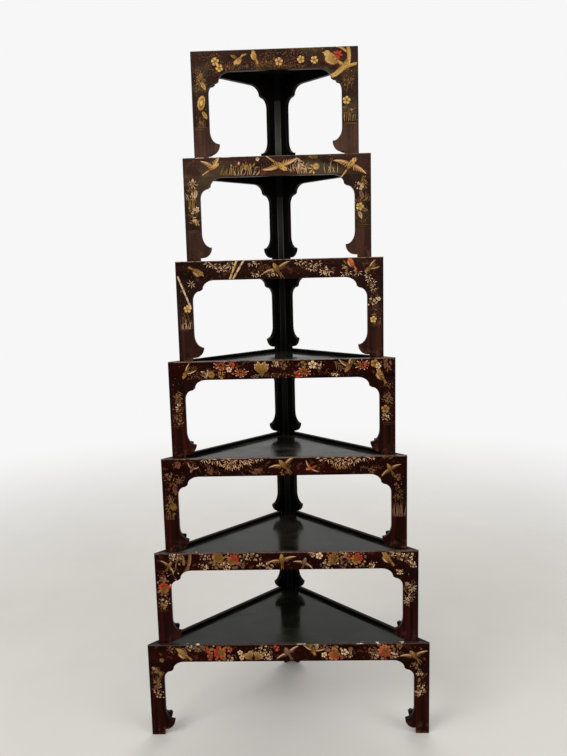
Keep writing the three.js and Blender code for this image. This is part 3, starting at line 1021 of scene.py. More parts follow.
    def bough(self) -> None:
        """Draws a thick gilt limb that bends, with a lit side, a shaded side and knots."""
        way, lit = unit(self.turn), self.ink if self.ink is BRIGHT else GOLD
        self.petal(0, way, 0.12, TWIG, 0.12, (0.1, 0.8), 0.8)
        self.petal(way * (0.04 + 0.05j), way * (0.97 + 0.05j), 0.04, TWIG, 0.13, (0.4, 0.8), 0.4, 0.6, ink=lit)
        self.petal(way * (0.06 - 0.08j), way * (0.94 - 0.08j), 0.02, TWIG, 0.12, (0.0, 0.4), 0.3, 0.7,
                   ink=FAINT)
        for k in range(3):
            self.disc(way * (0.25 + 0.25 * k + 0.06j), 0.02, 0.5, 0.85, FAINT)

    def fine_spray(self) -> None:
        """Draws a hair-thin twig with side twigs that end in dots."""
        bow, way = self.vary(-0.2, 0.2), unit(self.turn)
        self.line(0, way, 0.3, TWIG, bow, (0.4, 0.7), 0.2)
        for k in range(6):
            share, side = 0.2 + 0.13 * k, -1 if k % 2 else 1
            root = way * (share + 2j * bow * share * (1 - share))
            tip = root + unit(self.turn + side * self.vary(28, 60)) * self.vary(0.18, 0.34)
            self.line(root, tip, 0.22, TWIG, side * 0.1, (0.4, 0.8), 0.18)
            self.front.dot(self.ink, self.at + tip * self.size, self.vary(0.5, 0.85), 0.9)

    def branch(self) -> None:
        """Draws an old branch in three bent lengths, with twigs and blossoms."""
        spot = 0j
        for k in range(3):
            step = unit(self.turn + (14 if k % 2 else -12)) / 3
            self.line(spot, spot + step * 1.08, 2.6 - 0.65 * k, TWIG, 0.12 * (-1) ** k, (0.1, 0.8), 0.6)
            spot += step
            for side in (-1, 1):
                twig = spot + unit(self.turn + side * self.vary(35, 62)) * self.vary(0.2, 0.32)
                self.line(spot, twig, 0.55, TWIG, 0.1 * side, (0.3, 0.8), 0.3)
                at = self.at + twig * self.size
                Motif(self.front, at, self.vary(1.8, 2.8), self.vary(0, 72), PALE).floret()

    def cane(self) -> None:
        """Draws a length of bamboo cane: swelling joints with a ring at each."""
        count, way = max(2, round(self.size / 17)), unit(self.turn)
        for k in range(count):
            low, high = way * k / count, way * (k + 0.96) / count
            ring = 2.8j * way / self.size
            self.line(low, high, 2.7, TWIG, 0.01, (0.2, 0.9), 0.7)
            self.line(high - ring, high + ring, 0.45, TWIG, 0.1, (0.6, 0.9), 0.5, 0.4, ink=PALE)

    def grass(self) -> None:
        """Draws blades of grass side by side, nearly upright or, on the sixth table, spread and crossing."""
        count, loose = (7, 38.0) if self.front.number == 6 else (9, 7.0)
        for k in range(count):
            foot = (k / (count - 1) - 0.5) * min(26 / self.size, 0.8)
            way = unit(self.turn + (4 - k) * 1.4 + self.vary(-loose, loose))
            self.line(foot, foot + way * self.vary(0.45, 1.0), 0.55, FEATHER, self.vary(-0.2, 0.2),
                      (0.5, 1.2), 0.3)

    def reeds(self) -> None:
        """Draws upright reeds with long heads."""
        for k in range(-2, 3):
            foot = k * 3.2 / self.size
            tip = foot + unit(self.turn + self.vary(-9, 9)) * self.vary(0.6, 1.0)
            self.line(foot, tip, 0.42, TWIG, self.vary(-0.08, 0.08), (0.4, 0.9), 0.2)
            self.line(tip, tip + (tip - foot) * 0.22, 0.8, LEAF, 0.1, (0.5, 1.0))

    def fence(self) -> None:
        """Draws a low fence of split stakes over two rails."""
        for k in range(7):
            foot = k / 6 - 0.5 + 4j / self.size
            stake = unit(self.turn + self.vary(-9, 3)) * self.vary(0.6, 0.74)
            self.line(foot, foot + stake, 0.5, TWIG, 0.01, (0.3, 1.0), 0.3, ink=(BRIGHT, AMBER)[k % 2])
        for level in (1.0, -1.4, -6.0, 24.0):
            mid = 1j * level / self.size
            self.line(mid - 0.56, mid + 0.56, 0.42, TWIG, 0.01, (0.4, 0.9), 0.3, 0.15)

    def ground(self) -> None:
        """Draws a faint line that the plants stand on."""
        self.line(-0.5, 0.5, 0.4, TWIG, 0.02, (0.3, 0.6), 0.2)
        self.line(-0.42 - 3j / self.size, 0.3 - 3.4j / self.size, 0.3, TWIG, -0.02, (0.2, 0.4), 0.15)

    def ring(self) -> None:
        """Draws a faint full ring, like a moon behind leaves."""
        for k in range(16):
            self.line(unit(22.5 * k), unit(22.5 * (k + 1)), 0.4, TWIG, -0.1, (0.3, 0.5), 0.18)

    # Birds

    def wing(self, side: int) -> None:
        """Draws one slim wing: short feathers behind its arm, the long hand, and a pale leading edge."""
        way, bow = unit(self.turn), -0.17 * side
        for k in range(6):
            share = 0.1 + 0.12 * k
            spot = way * (share + 2j * bow * share * (1 - share))
            feather = unit(self.turn + side * (50 - 6 * k)) * (0.34 - 0.02 * k)
            self.petal(spot, spot + feather, 0.058, FEATHER, 0.0, (-0.4, 0.6), 0.28, 0.03 * k)
        self.petal(0, way, 0.09, FEATHER, bow, (-0.2, 0.7), 0.4, 0.22)
        self.petal(way * 0.14, way * 1.05, 0.05, FEATHER, bow * 1.15, (0.3, 1.1), 0.35, 0.5, ink=PALE)

    def flying_bird(self) -> None:
        """Draws a bird on the wing: size is its span, turn the way of its head, wings the ways of its wings."""
        way, short = unit(self.turn), self.front.number == 6
        fork = 1.2 if short else 5.0
        for k in (-1, 1):
            tip = -way * 0.5 * unit(fork * k)
            self.petal(-way * 0.1, tip, 0.024, FEATHER, 0.012 * fork * k, (0.0, 0.6), 0.3)
        if short:
            self.petal(-way * 0.36, -way * 0.53, 0.022, PETAL, 0.0, (0.3, 0.9), 0.35, 0.3, ink=PALE)
        for turn in self.wings if any(self.wings) else (self.turn + 84, self.turn - 84):
            side = 1 if (turn - self.turn + 180) % 360 > 180 else -1
            root = self.at + unit(turn) * self.size * 0.02
            replace(self, at=root, size=self.size * 0.54, turn=turn).wing(side)
        self.petal(-way * 0.25, way * 0.16, 0.124, PETAL, 0.0, (0.1, 0.5), 0.5, 0.2, ink=RUSSET)
        self.petal(-way * 0.22, way * 0.15, 0.104, PETAL, 0.03, (-0.3, 0.7), 0.7, 0.3)
        for k in range(5):
            spot = way * (0.08 - 0.06 * k + 1j * self.vary(-0.04, 0.04))
            self.petal(spot, spot - way * 0.06, 0.018, LEAF, 0.2, (0.0, 0.3), 0.2, 0.95, ink=FAINT)
        self.disc(way * 0.16, 0.074, 0.75, 0.5)
        self.petal(way * 0.19, way * 0.27, 0.018, FEATHER, 0.0, (0.6, 0.4), 0.35, 0.3, ink=PALE)
        self.disc(way * 0.165, 0.016, 0.0, 0.98, RUSSET)

    def perched_bird(self) -> None:
        """Draws a bird with folded wings from the side; size is its length and turn the way that it faces."""
        way, side = unit(self.turn), 1 if math.cos(math.radians(self.turn)) >= 0 else -1
        up, bow = 1j * way * side, -0.12 * side
        for k in range(4):
            tip = -way * 0.5 - up * (0.02 + 0.04 * k)
            self.petal(-way * 0.12, tip, 0.04, FEATHER, 0.04, (0.1, 0.75), 0.3)
        self.petal(-way * 0.32, way * 0.3 + up * 0.03, 0.25, PETAL, bow, (0.0, 0.4), 0.6, ink=RUSSET)
        self.petal(-way * 0.28, way * 0.29 + up * 0.03, 0.225, PETAL, bow, (-0.2, 0.6), 0.9, 0.1)
        self.petal(-way * 0.12 - up * 0.15, way * 0.24 - up * 0.1, 0.045, LEAF, 0.14, (0.2, 0.9), 0.2, 0.8,
                   ink=PALE)
        for k in range(6):
            root = way * (0.13 - 0.05 * k) + up * (0.08 - 0.014 * k)
            self.petal(root, root - way * 0.3 - up * 0.06, 0.045, FEATHER, 0.06, (0.0, 0.9), 0.3,
                       0.8 + 0.04 * k, ink=(PALE, FAINT, self.ink)[k % 3])
        self.disc(way * 0.28 + up * 0.1, 0.125, 0.7, 0.5)
        self.disc(way * 0.33 + up * 0.13, 0.02, 0.0, 1.05, RUSSET)
        self.petal(way * 0.38 + up * 0.1, way * 0.48 + up * 0.07, 0.026, FEATHER, 0.0, (0.8, 0.6), 0.4, 0.1,
                   ink=PALE)
        for k in (0.0, 0.07):
            self.petal(way * (0.04 + k) - up * 0.1, way * (0.02 + k) - up * 0.24, 0.014, TWIG, ink=FAINT)


class Kind(Enum):
    """What a motif shows: the method that draws it, and its usual turn in degrees."""

    BLOSSOM = (Motif.blossom, 0)
    FLORET = (Motif.floret, 0)
    PEONY = (Motif.peony, 0)
    ASTER = (Motif.aster, 90)
    CHRYSANTHEMUM = (Motif.chrysanthemum, 0)
    FAN_FLOWER = (Motif.fan_flower, 90)
    CLUSTER = (Motif.cluster, 0)
    BUD = (Motif.bud, 90)
    LEAVES = (Motif.leaves, 90)
    LEAF_SPRAY = (Motif.leaf_spray, -60)
    BAMBOO = (Motif.bamboo, 4)
    GARLAND = (Motif.garland, 0)
    STAR = (Motif.star, 90)
    BROAD_LEAF = (Motif.leaf, -58)
    FRUIT = (Motif.fruit, 78)
    HEATHER = (Motif.heather, 90)
    BOUGH = (Motif.bough, -32)
    FINE_SPRAY = (Motif.fine_spray, 80)
    BRANCH = (Motif.branch, -112)
    CANE = (Motif.cane, -112)
    GRASS = (Motif.grass, 90)
    REEDS = (Motif.reeds, 80)
    FENCE = (Motif.fence, 90)
    GROUND = (Motif.ground, 0)
    RING = (Motif.ring, 0)
    FLYING = (Motif.flying_bird, 130)
    PERCHED = (Motif.perched_bird, 132)


(
    BLOSSOM, FLORET, PEONY, ASTER, CHRYSANTHEMUM, FAN_FLOWER, CLUSTER, BUD, LEAVES, LEAF_SPRAY, BAMBOO, GARLAND,
    STAR, BROAD_LEAF, FRUIT, HEATHER, BOUGH, FINE_SPRAY, BRANCH, CANE, GRASS, REEDS, FENCE, GROUND, RING,
    FLYING, PERCHED,
) = Kind

# Each table's motifs in the order of drawing: what, in which tint, and rows of where along, height above the
# foot, size, then turn and the turns of two wings where they aren't the usual ones. Where along is a share of
# the front's width; over 1 it is millimetres from the left outer edge, and below 0 from the right one.
LAYOUT: dict[int, tuple[tuple, ...]] = {
    7: (
        (HEATHER, RUSSET, (0.16, 226, 34, 100)), (HEATHER, RINGED, (0.27, 203, 50, 85)),
        (HEATHER, RUSSET, (0.4, 203, 44, 95)), (HEATHER, RINGED, (0.54, 203, 50, 85)),
        (HEATHER, RUSSET, (0.66, 203, 44, 95)), (HEATHER, RINGED, (0.47, 228, 46, 80), (0.62, 230, 60, 100)),
        (FINE_SPRAY, RINGED, (0.14, 220, 34, 158), (30, 178, 40, 138), (34, 188, 38, 24), (16, 182, 30, 100)),
        (HEATHER, RINGED, (0.24, 204, 44), (0.55, 206, 52), (0.74, 237, 40)), (HEATHER, FAINT, (0.2, 204, 30)),
        (HEATHER, GOLD, (0.45, 210, 60)), (BLOSSOM, PALE, (0.148, 219, 9, 20), (0.172, 205, 8.5, 50)),
        (PERCHED, BRIGHT, (0.29, 221, 34, 235), (0.385, 226, 36, 124)),
        (BROAD_LEAF, PALE, (0.318, 229, 9, 34)), (BROAD_LEAF, GOLD, (0.282, 226, 17, 158)),
        (BLOSSOM, PALE, (0.529, 215, 9, 10), (0.66, 218, 8.5, 35), (0.74, 216, 8.5, 60)),
        (BOUGH, BRIGHT, (-46, 243, 26), (-24, 245, 44, -88), (-20, 216, 60, -138), (-34, 193, 38, 20)),
        (PERCHED, BRIGHT, (-56, 216, 62, 158)), (STAR, CORAL, (-46, 225, 14)),
        (HEATHER, RUSSET, (-22, 190, 26)), (HEATHER, FAINT, (-24, 172, 24)),
        (FINE_SPRAY, GOLD, (-14, 150, 30, 90), (-26, 140, 34)), (HEATHER, GOLD, (-26, 160, 26)),
        (STAR, FAINT, (22, 192, 15)), (FLORET, GOLD, (22, 192, 4)), (FINE_SPRAY, BRIGHT, (24, 190, 30, -80)),
        (FINE_SPRAY, GOLD, (14, 200, 26, -60), (40, 204, 24, -20)), (LEAF_SPRAY, GOLD, (20, 196, 24, -100)),
        (FINE_SPRAY, GOLD, (28, 150, 26, -110)), (HEATHER, RUSSET, (18, 200, 26)),
        (GRASS, FAINT, (22, 178, 16)), (BROAD_LEAF, BRIGHT, (21, 176, 21)), (HEATHER, FAINT, (16, 160, 22)),
        (FRUIT, BRIGHT, (22, 130, 34)), (BROAD_LEAF, BRIGHT, (22, 112, 21)), (FLORET, FAINT, (18, 88, 4)),
        (GRASS, FAINT, (20, 76, 20)), (GROUND, GOLD, (18, 76, 28)), (HEATHER, GOLD, (20, 92, 20)),
        (BLOSSOM, PALE, (-27, 127, 9, 10)), (FENCE, GOLD, (-18, 76, 29)), (HEATHER, FAINT, (-20, 104, 24)),
        (FLORET, PALE, (-16, 106, 2.6)),
    ),
    6: (
        (RING, FAINT, (0.07, 212, 24)), (RING, RUSSET, (-24, 202, 22)),
        (FLYING, BRIGHT, (0.165, 221, 60, 33, (156, 66)), (0.52, 220, 76, -35, (190, 24)),
        (0.895, 219, 74, 51, (168, -34))), (BUD, PALE, (0.3, 226, 6)), (FLORET, PALE, (0.4, 236, 4.5)),
        (CHRYSANTHEMUM, BRIGHT, (0.71, 216, 8, 70)), (LEAVES, BRIGHT, (0.7, 212, 15, 200)),
        (REEDS, BRIGHT, (0.26, 201, 22)), (GRASS, PALE, (0.3, 200, 24), (0.37, 200, 28, 84)),
        (REEDS, FAINT, (0.42, 201, 22, 96)), (LEAF_SPRAY, GOLD, (0.29, 208, 26, 40)),
        (LEAVES, GOLD, (0.37, 214, 14)), (REEDS, BRIGHT, (0.63, 202, 26, 70)),
        (LEAF_SPRAY, PALE, (0.6, 240, 30)), (GRASS, PALE, (0.64, 200, 30, 80), (0.79, 200, 34, 100),
        (0.6, 206, 26, 110)), (GRASS, BRIGHT, (0.34, 212, 20)), (LEAF_SPRAY, GOLD, (0.66, 236, 24, 10)),
        (GRASS, GOLD, (0.22, 202, 26, 70)), (HEATHER, RUSSET, (0.58, 204, 30), (0.8, 232, 20)),
        (STAR, PALE, (22, 184, 13)), (BUD, PALE, (22, 190, 7)), (LEAF_SPRAY, RINGED, (14, 196, 26, -84)),
        (GRASS, PALE, (14, 148, 34, 94)), (BROAD_LEAF, PALE, (28, 172, 20, -96)),
        (REEDS, BRIGHT, (18, 124, 40, 88)), (CLUSTER, PALE, (23, 124, 9, 90)),
        (LEAF_SPRAY, BRIGHT, (18, 112, 22)), (FAN_FLOWER, PALE, (22, 96, 9)), (LEAVES, RINGED, (22, 94, 14)),
        (GROUND, GOLD, (18, 78, 28)), (FINE_SPRAY, BRIGHT, (22, 90, 40, 92)),
        (FINE_SPRAY, GOLD, (10, 100, 40, 84)), (FINE_SPRAY, BRIGHT, (30, 140, 34, 100)),
        (CLUSTER, PALE, (-24, 172, 9)), (FINE_SPRAY, RUSSET, (-24, 240, 40, -80)),
        (BROAD_LEAF, RINGED, (-26, 160, 20, -70)), (LEAF_SPRAY, GOLD, (-20, 196, 26, -80)),
        (GRASS, GOLD, (-18, 136, 26, 60)), (BLOSSOM, BRIGHT, (-26, 124, 9)),
        (BROAD_LEAF, RINGED, (-24, 118, 18, -14)), (BROAD_LEAF, PALE, (-30, 114, 20, -66)),
        (LEAVES, FAINT, (-30, 132, 12, 100)), (GROUND, GOLD, (-18, 82, 30)), (HEATHER, FAINT, (-20, 88, 24)),
        (FINE_SPRAY, FAINT, (-14, 106, 34, 95)),
    ),
    5: (
        (PERCHED, GOLD, (0.1, 219, 44, -42)), (BAMBOO, PALE, (0.15, 236, 64, -4), (0.2, 226, 34, -10)),
        (CANE, BRIGHT, (0.3, 245, 52)), (CANE, PALE, (0.335, 245, 54, -122)),
        (BAMBOO, PALE, (0.355, 236, 40, -6), (0.37, 210, 62)), (STAR, FAINT, (0.45, 222, 9, 4)),
        (FLYING, GOLD, (0.49, 221, 62, 122, (198, 28))), (BAMBOO, PALE, (0.58, 237, 60, -6),
        (0.63, 224, 60, -8), (0.7, 211, 30)), (PERCHED, AMBER, (0.85, 229, 40)),
        (BROAD_LEAF, BRIGHT, (0.83, 222, 13, 190)), (LEAVES, FAINT, (0.83, 224, 16, 196)),
        (FLYING, GOLD, (0.93, 216, 46, 215, (52, 12))), (BAMBOO, PALE, (0.8, 208, 44), (-36, 208, 32, -80),
        (-26, 188, 26, -80)), (CANE, PALE, (4, 210, 84, -69)), (STAR, PALE, (36, 190, 13, 10)),
        (BLOSSOM, BRIGHT, (25, 132, 9, 15)), (STAR, FAINT, (16, 176, 9, 20)), (GRASS, FAINT, (20, 84, 40)),
        (GRASS, PALE, (20, 84, 26)), (GROUND, GOLD, (18, 84, 28)), (HEATHER, RUSSET, (20, 118, 20)),
        (CLUSTER, PALE, (-25, 142, 10)), (FLORET, PALE, (-11, 146, 5)), (BLOSSOM, BRIGHT, (-24, 98, 8, 15)),
        (FLORET, RUSSET, (-21, 109, 4)), (HEATHER, RUSSET, (-20, 116, 22)), (GRASS, FAINT, (-16, 84, 22)),
        (GROUND, FAINT, (-18, 84, 28)), (STAR, FAINT, (-30, 180, 10, 0), (-24, 164, 9, 20)),
    ),
    4: (
        (FLYING, GOLD, (0.075, 213, 50, 242, (66, 20))), (HEATHER, RUSSET, (0.12, 202, 40, 80)),
        (ASTER, CORAL, (0.235, 231, 10), (0.32, 213, 10, 95)), (CHRYSANTHEMUM, GOLD, (0.19, 211, 9)),
        (CLUSTER, PALE, (0.165, 213, 9)), (BLOSSOM, PALE, (0.27, 222, 7, 15)),
        (CLUSTER, GOLD, (0.235, 210, 9)), (CLUSTER, CORAL, (0.285, 234, 8)),
        (FAN_FLOWER, GOLD, (0.413, 206, 33)), (FINE_SPRAY, PALE, (0.41, 209, 22, 205)),
        (FINE_SPRAY, FAINT, (0.41, 209, 18, 0)), (CLUSTER, FAINT, (0.51, 230, 10)),
        (CLUSTER, PALE, (0.475, 236, 8)), (HEATHER, RUSSET, (0.48, 203, 60)),
        (ASTER, CORAL, (0.6, 213, 10, 80)), (CLUSTER, CORAL, (0.57, 208, 9)),
        (BLOSSOM, PALE, (0.637, 230, 10, 15)), (CLUSTER, PALE, (0.665, 228, 8)),
        (CLUSTER, GOLD, (0.6, 232, 9)), (FLYING, GOLD, (0.795, 222, 54, 232, (70, 138))),
        (LEAF_SPRAY, FAINT, (0.725, 238, 30, -40)), (ASTER, CORAL, (0.855, 227, 10, 0)),
        (BLOSSOM, GOLD, (0.91, 230, 10)), (BLOSSOM, PALE, (0.925, 224, 7)), (FLORET, PALE, (0.74, 205, 5),
        (0.725, 206, 4)), (LEAF_SPRAY, FAINT, (0.945, 238, 26)), (CLUSTER, FAINT, (0.97, 232, 12)),
        (HEATHER, RUSSET, (0.76, 203, 40)), (PERCHED, GOLD, (-34, 199, 44)),
        (LEAF_SPRAY, FAINT, (20, 176, 30, -84)), (LEAVES, OLIVE, (20, 152, 14, 80)),
        (LEAVES, PALE, (24, 132, 11, 140)), (LEAVES, OLIVE, (18, 118, 12, 30)),
        (HEATHER, RUSSET, (20, 126, 22)), (CLUSTER, RINGED, (20, 100, 10)),
        (FINE_SPRAY, FAINT, (22, 104, 34, 90)), (GROUND, FAINT, (18, 86, 28)), (FLORET, RINGED, (24, 142, 4)),
        (BLOSSOM, GOLD, (-24, 120, 10, 15)), (CLUSTER, PALE, (-22, 102, 9)),
        (LEAVES, FAINT, (-24, 102, 12, -90)), (LEAF_SPRAY, FAINT, (-18, 166, 30, -80)),
        (CLUSTER, FAINT, (-22, 146, 9)), (GROUND, FAINT, (-18, 86, 28)), (HEATHER, RUSSET, (-20, 176, 22)),
    ),
    3: (
        (GARLAND, PALE, (0.295, 241, 150), (0.3, 233, 84), (0.29, 224, 36), (0.755, 241, 136),
        (0.745, 233, 60)), (GARLAND, GOLD, (0.73, 224, 28)), (CLUSTER, RUSSET, (0.2, 214, 9),
        (0.385, 210, 9, 90)), (HEATHER, RUSSET, (0.22, 203, 40), (0.4, 204, 36)),
        (FLYING, GOLD, (0.5, 224, 64, 130, (190, 36))), (LEAVES, GOLD, (0.5, 206, 10, 200)),
        (FLYING, AMBER, (0.606, 215, 40, 200, (112, -20))), (FLYING, GOLD, (0.125, 217, 34, 250, (116, 20)),
        (0.93, 212, 50, 118, (226, 18))), (CLUSTER, RUSSET, (0.07, 230, 9)),
        (FINE_SPRAY, RUSSET, (0.1, 236, 26, -10)), (CLUSTER, RUSSET, (0.86, 208, 8)),
        (LEAVES, RUSSET, (0.92, 234, 12)), (STAR, FAINT, (44, 190, 14, 0)), (STAR, RINGED, (40, 188, 11, 25)),
        (BROAD_LEAF, OLIVE, (30, 166, 15, -80)), (CHRYSANTHEMUM, OLIVE, (26, 122, 9)),
        (LEAVES, OLIVE, (22, 112, 14, 250), (16, 122, 12, 180)), (HEATHER, RUSSET, (20, 140, 22)),
        (LEAF_SPRAY, FAINT, (18, 150, 28, -85)), (GRASS, FAINT, (18, 90, 22)), (CLUSTER, FAINT, (18, 200, 10)),
        (LEAF_SPRAY, RUSSET, (26, 190, 30, -80)), (GRASS, RINGED, (-21, 90, 66, 92), (-18, 90, 46, 84)),
        (LEAVES, FAINT, (-26, 138, 10)), (LEAVES, RINGED, (-26, 166, 9, 60)),
        (FINE_SPRAY, FAINT, (-14, 160, 24, -95)), (HEATHER, RUSSET, (-20, 150, 22)),
        (GROUND, FAINT, (-18, 94, 28)), (CLUSTER, RUSSET, (-22, 190, 8)),
    ),
    2: (
        (FLYING, GOLD, (0.056, 212, 44, 60, (150, -66))), (BOUGH, FAINT, (88, 245, 38, -98),
        (84, 212, 40, -122)), (BRANCH, FAINT, (66, 240, 56)), (BOUGH, FAINT, (66, 244, 34, -80)),
        (CLUSTER, PALE, (0.07, 236, 9), (0.1, 238, 9), (0.19, 236, 10)), (PEONY, GOLD, (0.243, 232, 16)),
        (PEONY, CORAL, (0.3, 225, 15, 48)), (CLUSTER, GOLD, (0.235, 214, 11)), (CLUSTER, PALE, (0.27, 208, 10),
        (0.19, 208, 10), (0.385, 235, 15), (0.35, 234, 9)), (CLUSTER, FAINT, (0.335, 214, 9)),
        (FLYING, GOLD, (0.485, 223, 64, 92, (192, 13))), (FLYING, RINGED, (0.57, 217, 48, 72, (178, -42))),
        (CLUSTER, PALE, (0.44, 210, 12)), (LEAVES, PALE, (0.405, 206, 12)), (BLOSSOM, PALE, (0.627, 233, 9)),
        (CLUSTER, PALE, (0.6, 238, 8)), (PEONY, GOLD, (0.68, 227, 14)), (CLUSTER, PALE, (0.72, 236, 8)),
        (PEONY, CORAL, (0.768, 224, 15, 40)), (CLUSTER, CORAL, (0.735, 232, 9)),
        (CLUSTER, FAINT, (0.72, 209, 12)), (CLUSTER, PALE, (0.655, 210, 11)),
        (PERCHED, GOLD, (0.885, 222, 48, 140)), (CLUSTER, PALE, (0.935, 230, 12), (0.965, 226, 14),
        (0.9, 238, 8), (0.825, 207, 9)), (FINE_SPRAY, RUSSET, (0.84, 238, 20, 180)),
        (CLUSTER, PALE, (-14, 208, 8)), (CLUSTER, RINGED, (20, 177, 7)), (PEONY, CORAL, (21, 154, 15, 84)),
        (CLUSTER, PALE, (20, 118, 12)), (CLUSTER, GOLD, (18, 108, 9)), (FINE_SPRAY, GOLD, (20, 132, 18)),
        (GROUND, FAINT, (18, 96, 24)), (LEAVES, RUSSET, (26, 192, 12, 200)),
        (FINE_SPRAY, PALE, (-26, 104, 58)), (BAMBOO, PALE, (-32, 112, 14, 60), (-14, 142, 14, 100)),
        (STAR, PALE, (-28, 158, 7)), (FINE_SPRAY, RINGED, (-14, 110, 48, 95)), (CLUSTER, PALE, (-46, 190, 6)),
        (FINE_SPRAY, PALE, (-30, 100, 30, 60)),
    ),
    1: (
        (CLUSTER, FAINT, (0.085, 233, 9)), (FINE_SPRAY, PALE, (0.1, 237, 30, -15), (0.15, 238, 30, -10)),
        (CLUSTER, PALE, (0.15, 237, 10)), (CLUSTER, FAINT, (0.18, 232, 8), (0.2, 236, 7)),
        (PERCHED, GOLD, (0.13, 217, 50, 152)), (PEONY, CORAL, (0.258, 222, 17, 180)),
        (CLUSTER, CORAL, (0.218, 229, 8), (0.222, 211, 8), (0.294, 231, 8)), (CLUSTER, PALE, (0.296, 208, 9)),
        (BLOSSOM, PALE, (0.33, 222, 6.5, 20), (0.335, 209, 6, 20)), (FAN_FLOWER, GOLD, (0.385, 202, 22, 58),
        (0.37, 202, 23, 118)), (LEAVES, GOLD, (0.35, 206, 16, 140)), (BLOSSOM, FAINT, (0.372, 222, 7)),
        (CLUSTER, PALE, (0.412, 229, 14), (0.425, 216, 12)), (LEAVES, PALE, (0.425, 207, 14, 40)),
        (CLUSTER, CORAL, (0.46, 235, 8)), (FLYING, RINGED, (0.5, 221, 58, 118, (212, 32))),
        (FLYING, GOLD, (0.59, 225, 52, -70, (144, 12))), (CLUSTER, PALE, (0.6, 238, 8)),
        (CLUSTER, GOLD, (0.575, 239, 9)), (CLUSTER, FAINT, (0.635, 234, 9)),
        (PEONY, AMBER, (0.665, 214, 16, 215)), (BLOSSOM, GOLD, (0.665, 226, 8, 10)),
        (BLOSSOM, PALE, (0.628, 214, 7), (0.7, 221, 9)), (CLUSTER, PALE, (0.718, 216, 9)),
        (BLOSSOM, FAINT, (0.722, 229, 6)), (PEONY, AMBER, (0.843, 224, 17, 140)),
        (CLUSTER, FAINT, (0.795, 226, 9)), (CLUSTER, PALE, (0.808, 212, 10), (0.878, 214, 9)),
        (CLUSTER, FAINT, (0.895, 236, 8)), (FLYING, GOLD, (0.945, 211, 62, 130, (184, 18))),
        (FINE_SPRAY, FAINT, (0.9, 238, 26, -20)), (FLORET, FAINT, (0.97, 228, 3)),
        (CLUSTER, GOLD, (17, 178, 8)), (FLORET, PALE, (13, 182, 4.2)), (LEAVES, OLIVE, (24, 166, 12, 20)),
        (BRANCH, FAINT, (26, 158, 34, -100)), (LEAVES, OLIVE, (18, 140, 14, 60)),
        (CLUSTER, PALE, (24, 110, 9)), (CLUSTER, RINGED, (28, 168, 6)), (LEAVES, RUSSET, (18, 124, 12, 100)),
        (BLOSSOM, FAINT, (34, 203, 6)), (HEATHER, FAINT, (20, 150, 24)),
        (LEAF_SPRAY, OLIVE, (22, 150, 24, -100)), (FLORET, PALE, (-20, 161, 4.5), (-30, 161, 4.5, 20)),
        (BUD, RINGED, (-26, 144, 8, 80)), (CLUSTER, PALE, (-22, 124, 11), (-28, 110, 8)),
        (FLORET, RINGED, (-12, 114, 4.5)), (CLUSTER, FAINT, (-34, 184, 9)),
        (FINE_SPRAY, PALE, (-30, 180, 24, -80)),
    ),
}


# Boards


def add_piece(name: str, mesh: bpy.types.Mesh, body: str, slot: str) -> bpy.types.Object:
    """Adds a mesh as a piece at the origin that rides on a body."""
    piece = bpy.data.objects.new(name, mesh)
    bpy.context.scene.collection.objects.link(piece)
    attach(piece, body)
    LOG.info("%s: %d faces on %s", name, len(mesh.polygons), body)
    return piece


class Facing(Enum):
    """Which way a face looks: the axis of its normal, the sign, and the least of it that counts."""

    FRONT = (1, -1, 0.93)
    TOP = (2, 1, 0.9)
    OUTER = (1, 1, 0.6)
    REST = (2, 1, -2.0)


@dataclass(frozen=True)
class Board:
    """One board of a table, as a copy of its node with softened arrises."""

    body: str
    part: str
    slot: str
    softening: float
    finishes: dict[Facing, Lacquer]

    def build(self) -> bpy.types.Object:
        """Copies, merges, dresses and softens the board.

        Returns:
            The piece, which stands for its node.
        """
        node = f"{self.body}_{self.part}"
        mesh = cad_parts[node].data.copy()
        mesh.name = f"{node}_board"
        for extra in [layer for layer in mesh.attributes if layer.name == "custom_normal"]:
            mesh.attributes.remove(extra)
        shape = bmesh.new()
        shape.from_mesh(mesh)
        bmesh.ops.remove_doubles(shape, verts=shape.verts, dist=1e-5)
        shape.to_mesh(mesh)
        shape.free()
        self.dress(mesh)
        piece = add_piece(f"{node}_board", mesh, self.body, self.slot)
        soft = piece.modifiers.new("Softened arrises", "BEVEL")
        soft.width, soft.segments, soft.limit_method = self.softening * MM, 2, "ANGLE"
        soft.angle_limit, soft.use_clamp_overlap, soft.miter_outer = math.radians(32), False, "MITER_SHARP"
        piece.modifiers.new("Flat faces", "WEIGHTED_NORMAL").keep_sharp = True
        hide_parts(node)
        return piece

    def dress(self, mesh: bpy.types.Mesh) -> None:
        """Gives each face the first finish of the board whose way to look it meets."""
        mesh.materials.clear()
        for finish in self.finishes.values():
            mesh.materials.append(finish.material())
        count = len(mesh.polygons)
        normals = np.zeros(count * 3, np.float32)
        mesh.polygons.foreach_get("normal", normals)
        normals = normals.reshape(-1, 3)
        ways = [facing.value for facing in self.finishes]
        index = np.select([sign * normals[:, axis] > least for axis, sign, least in ways], range(len(ways)))
        mesh.polygons.foreach_set("material_index", index.astype(np.int32))
        mesh.polygons.foreach_set("use_smooth", np.ones(count, bool))
        mesh.update()


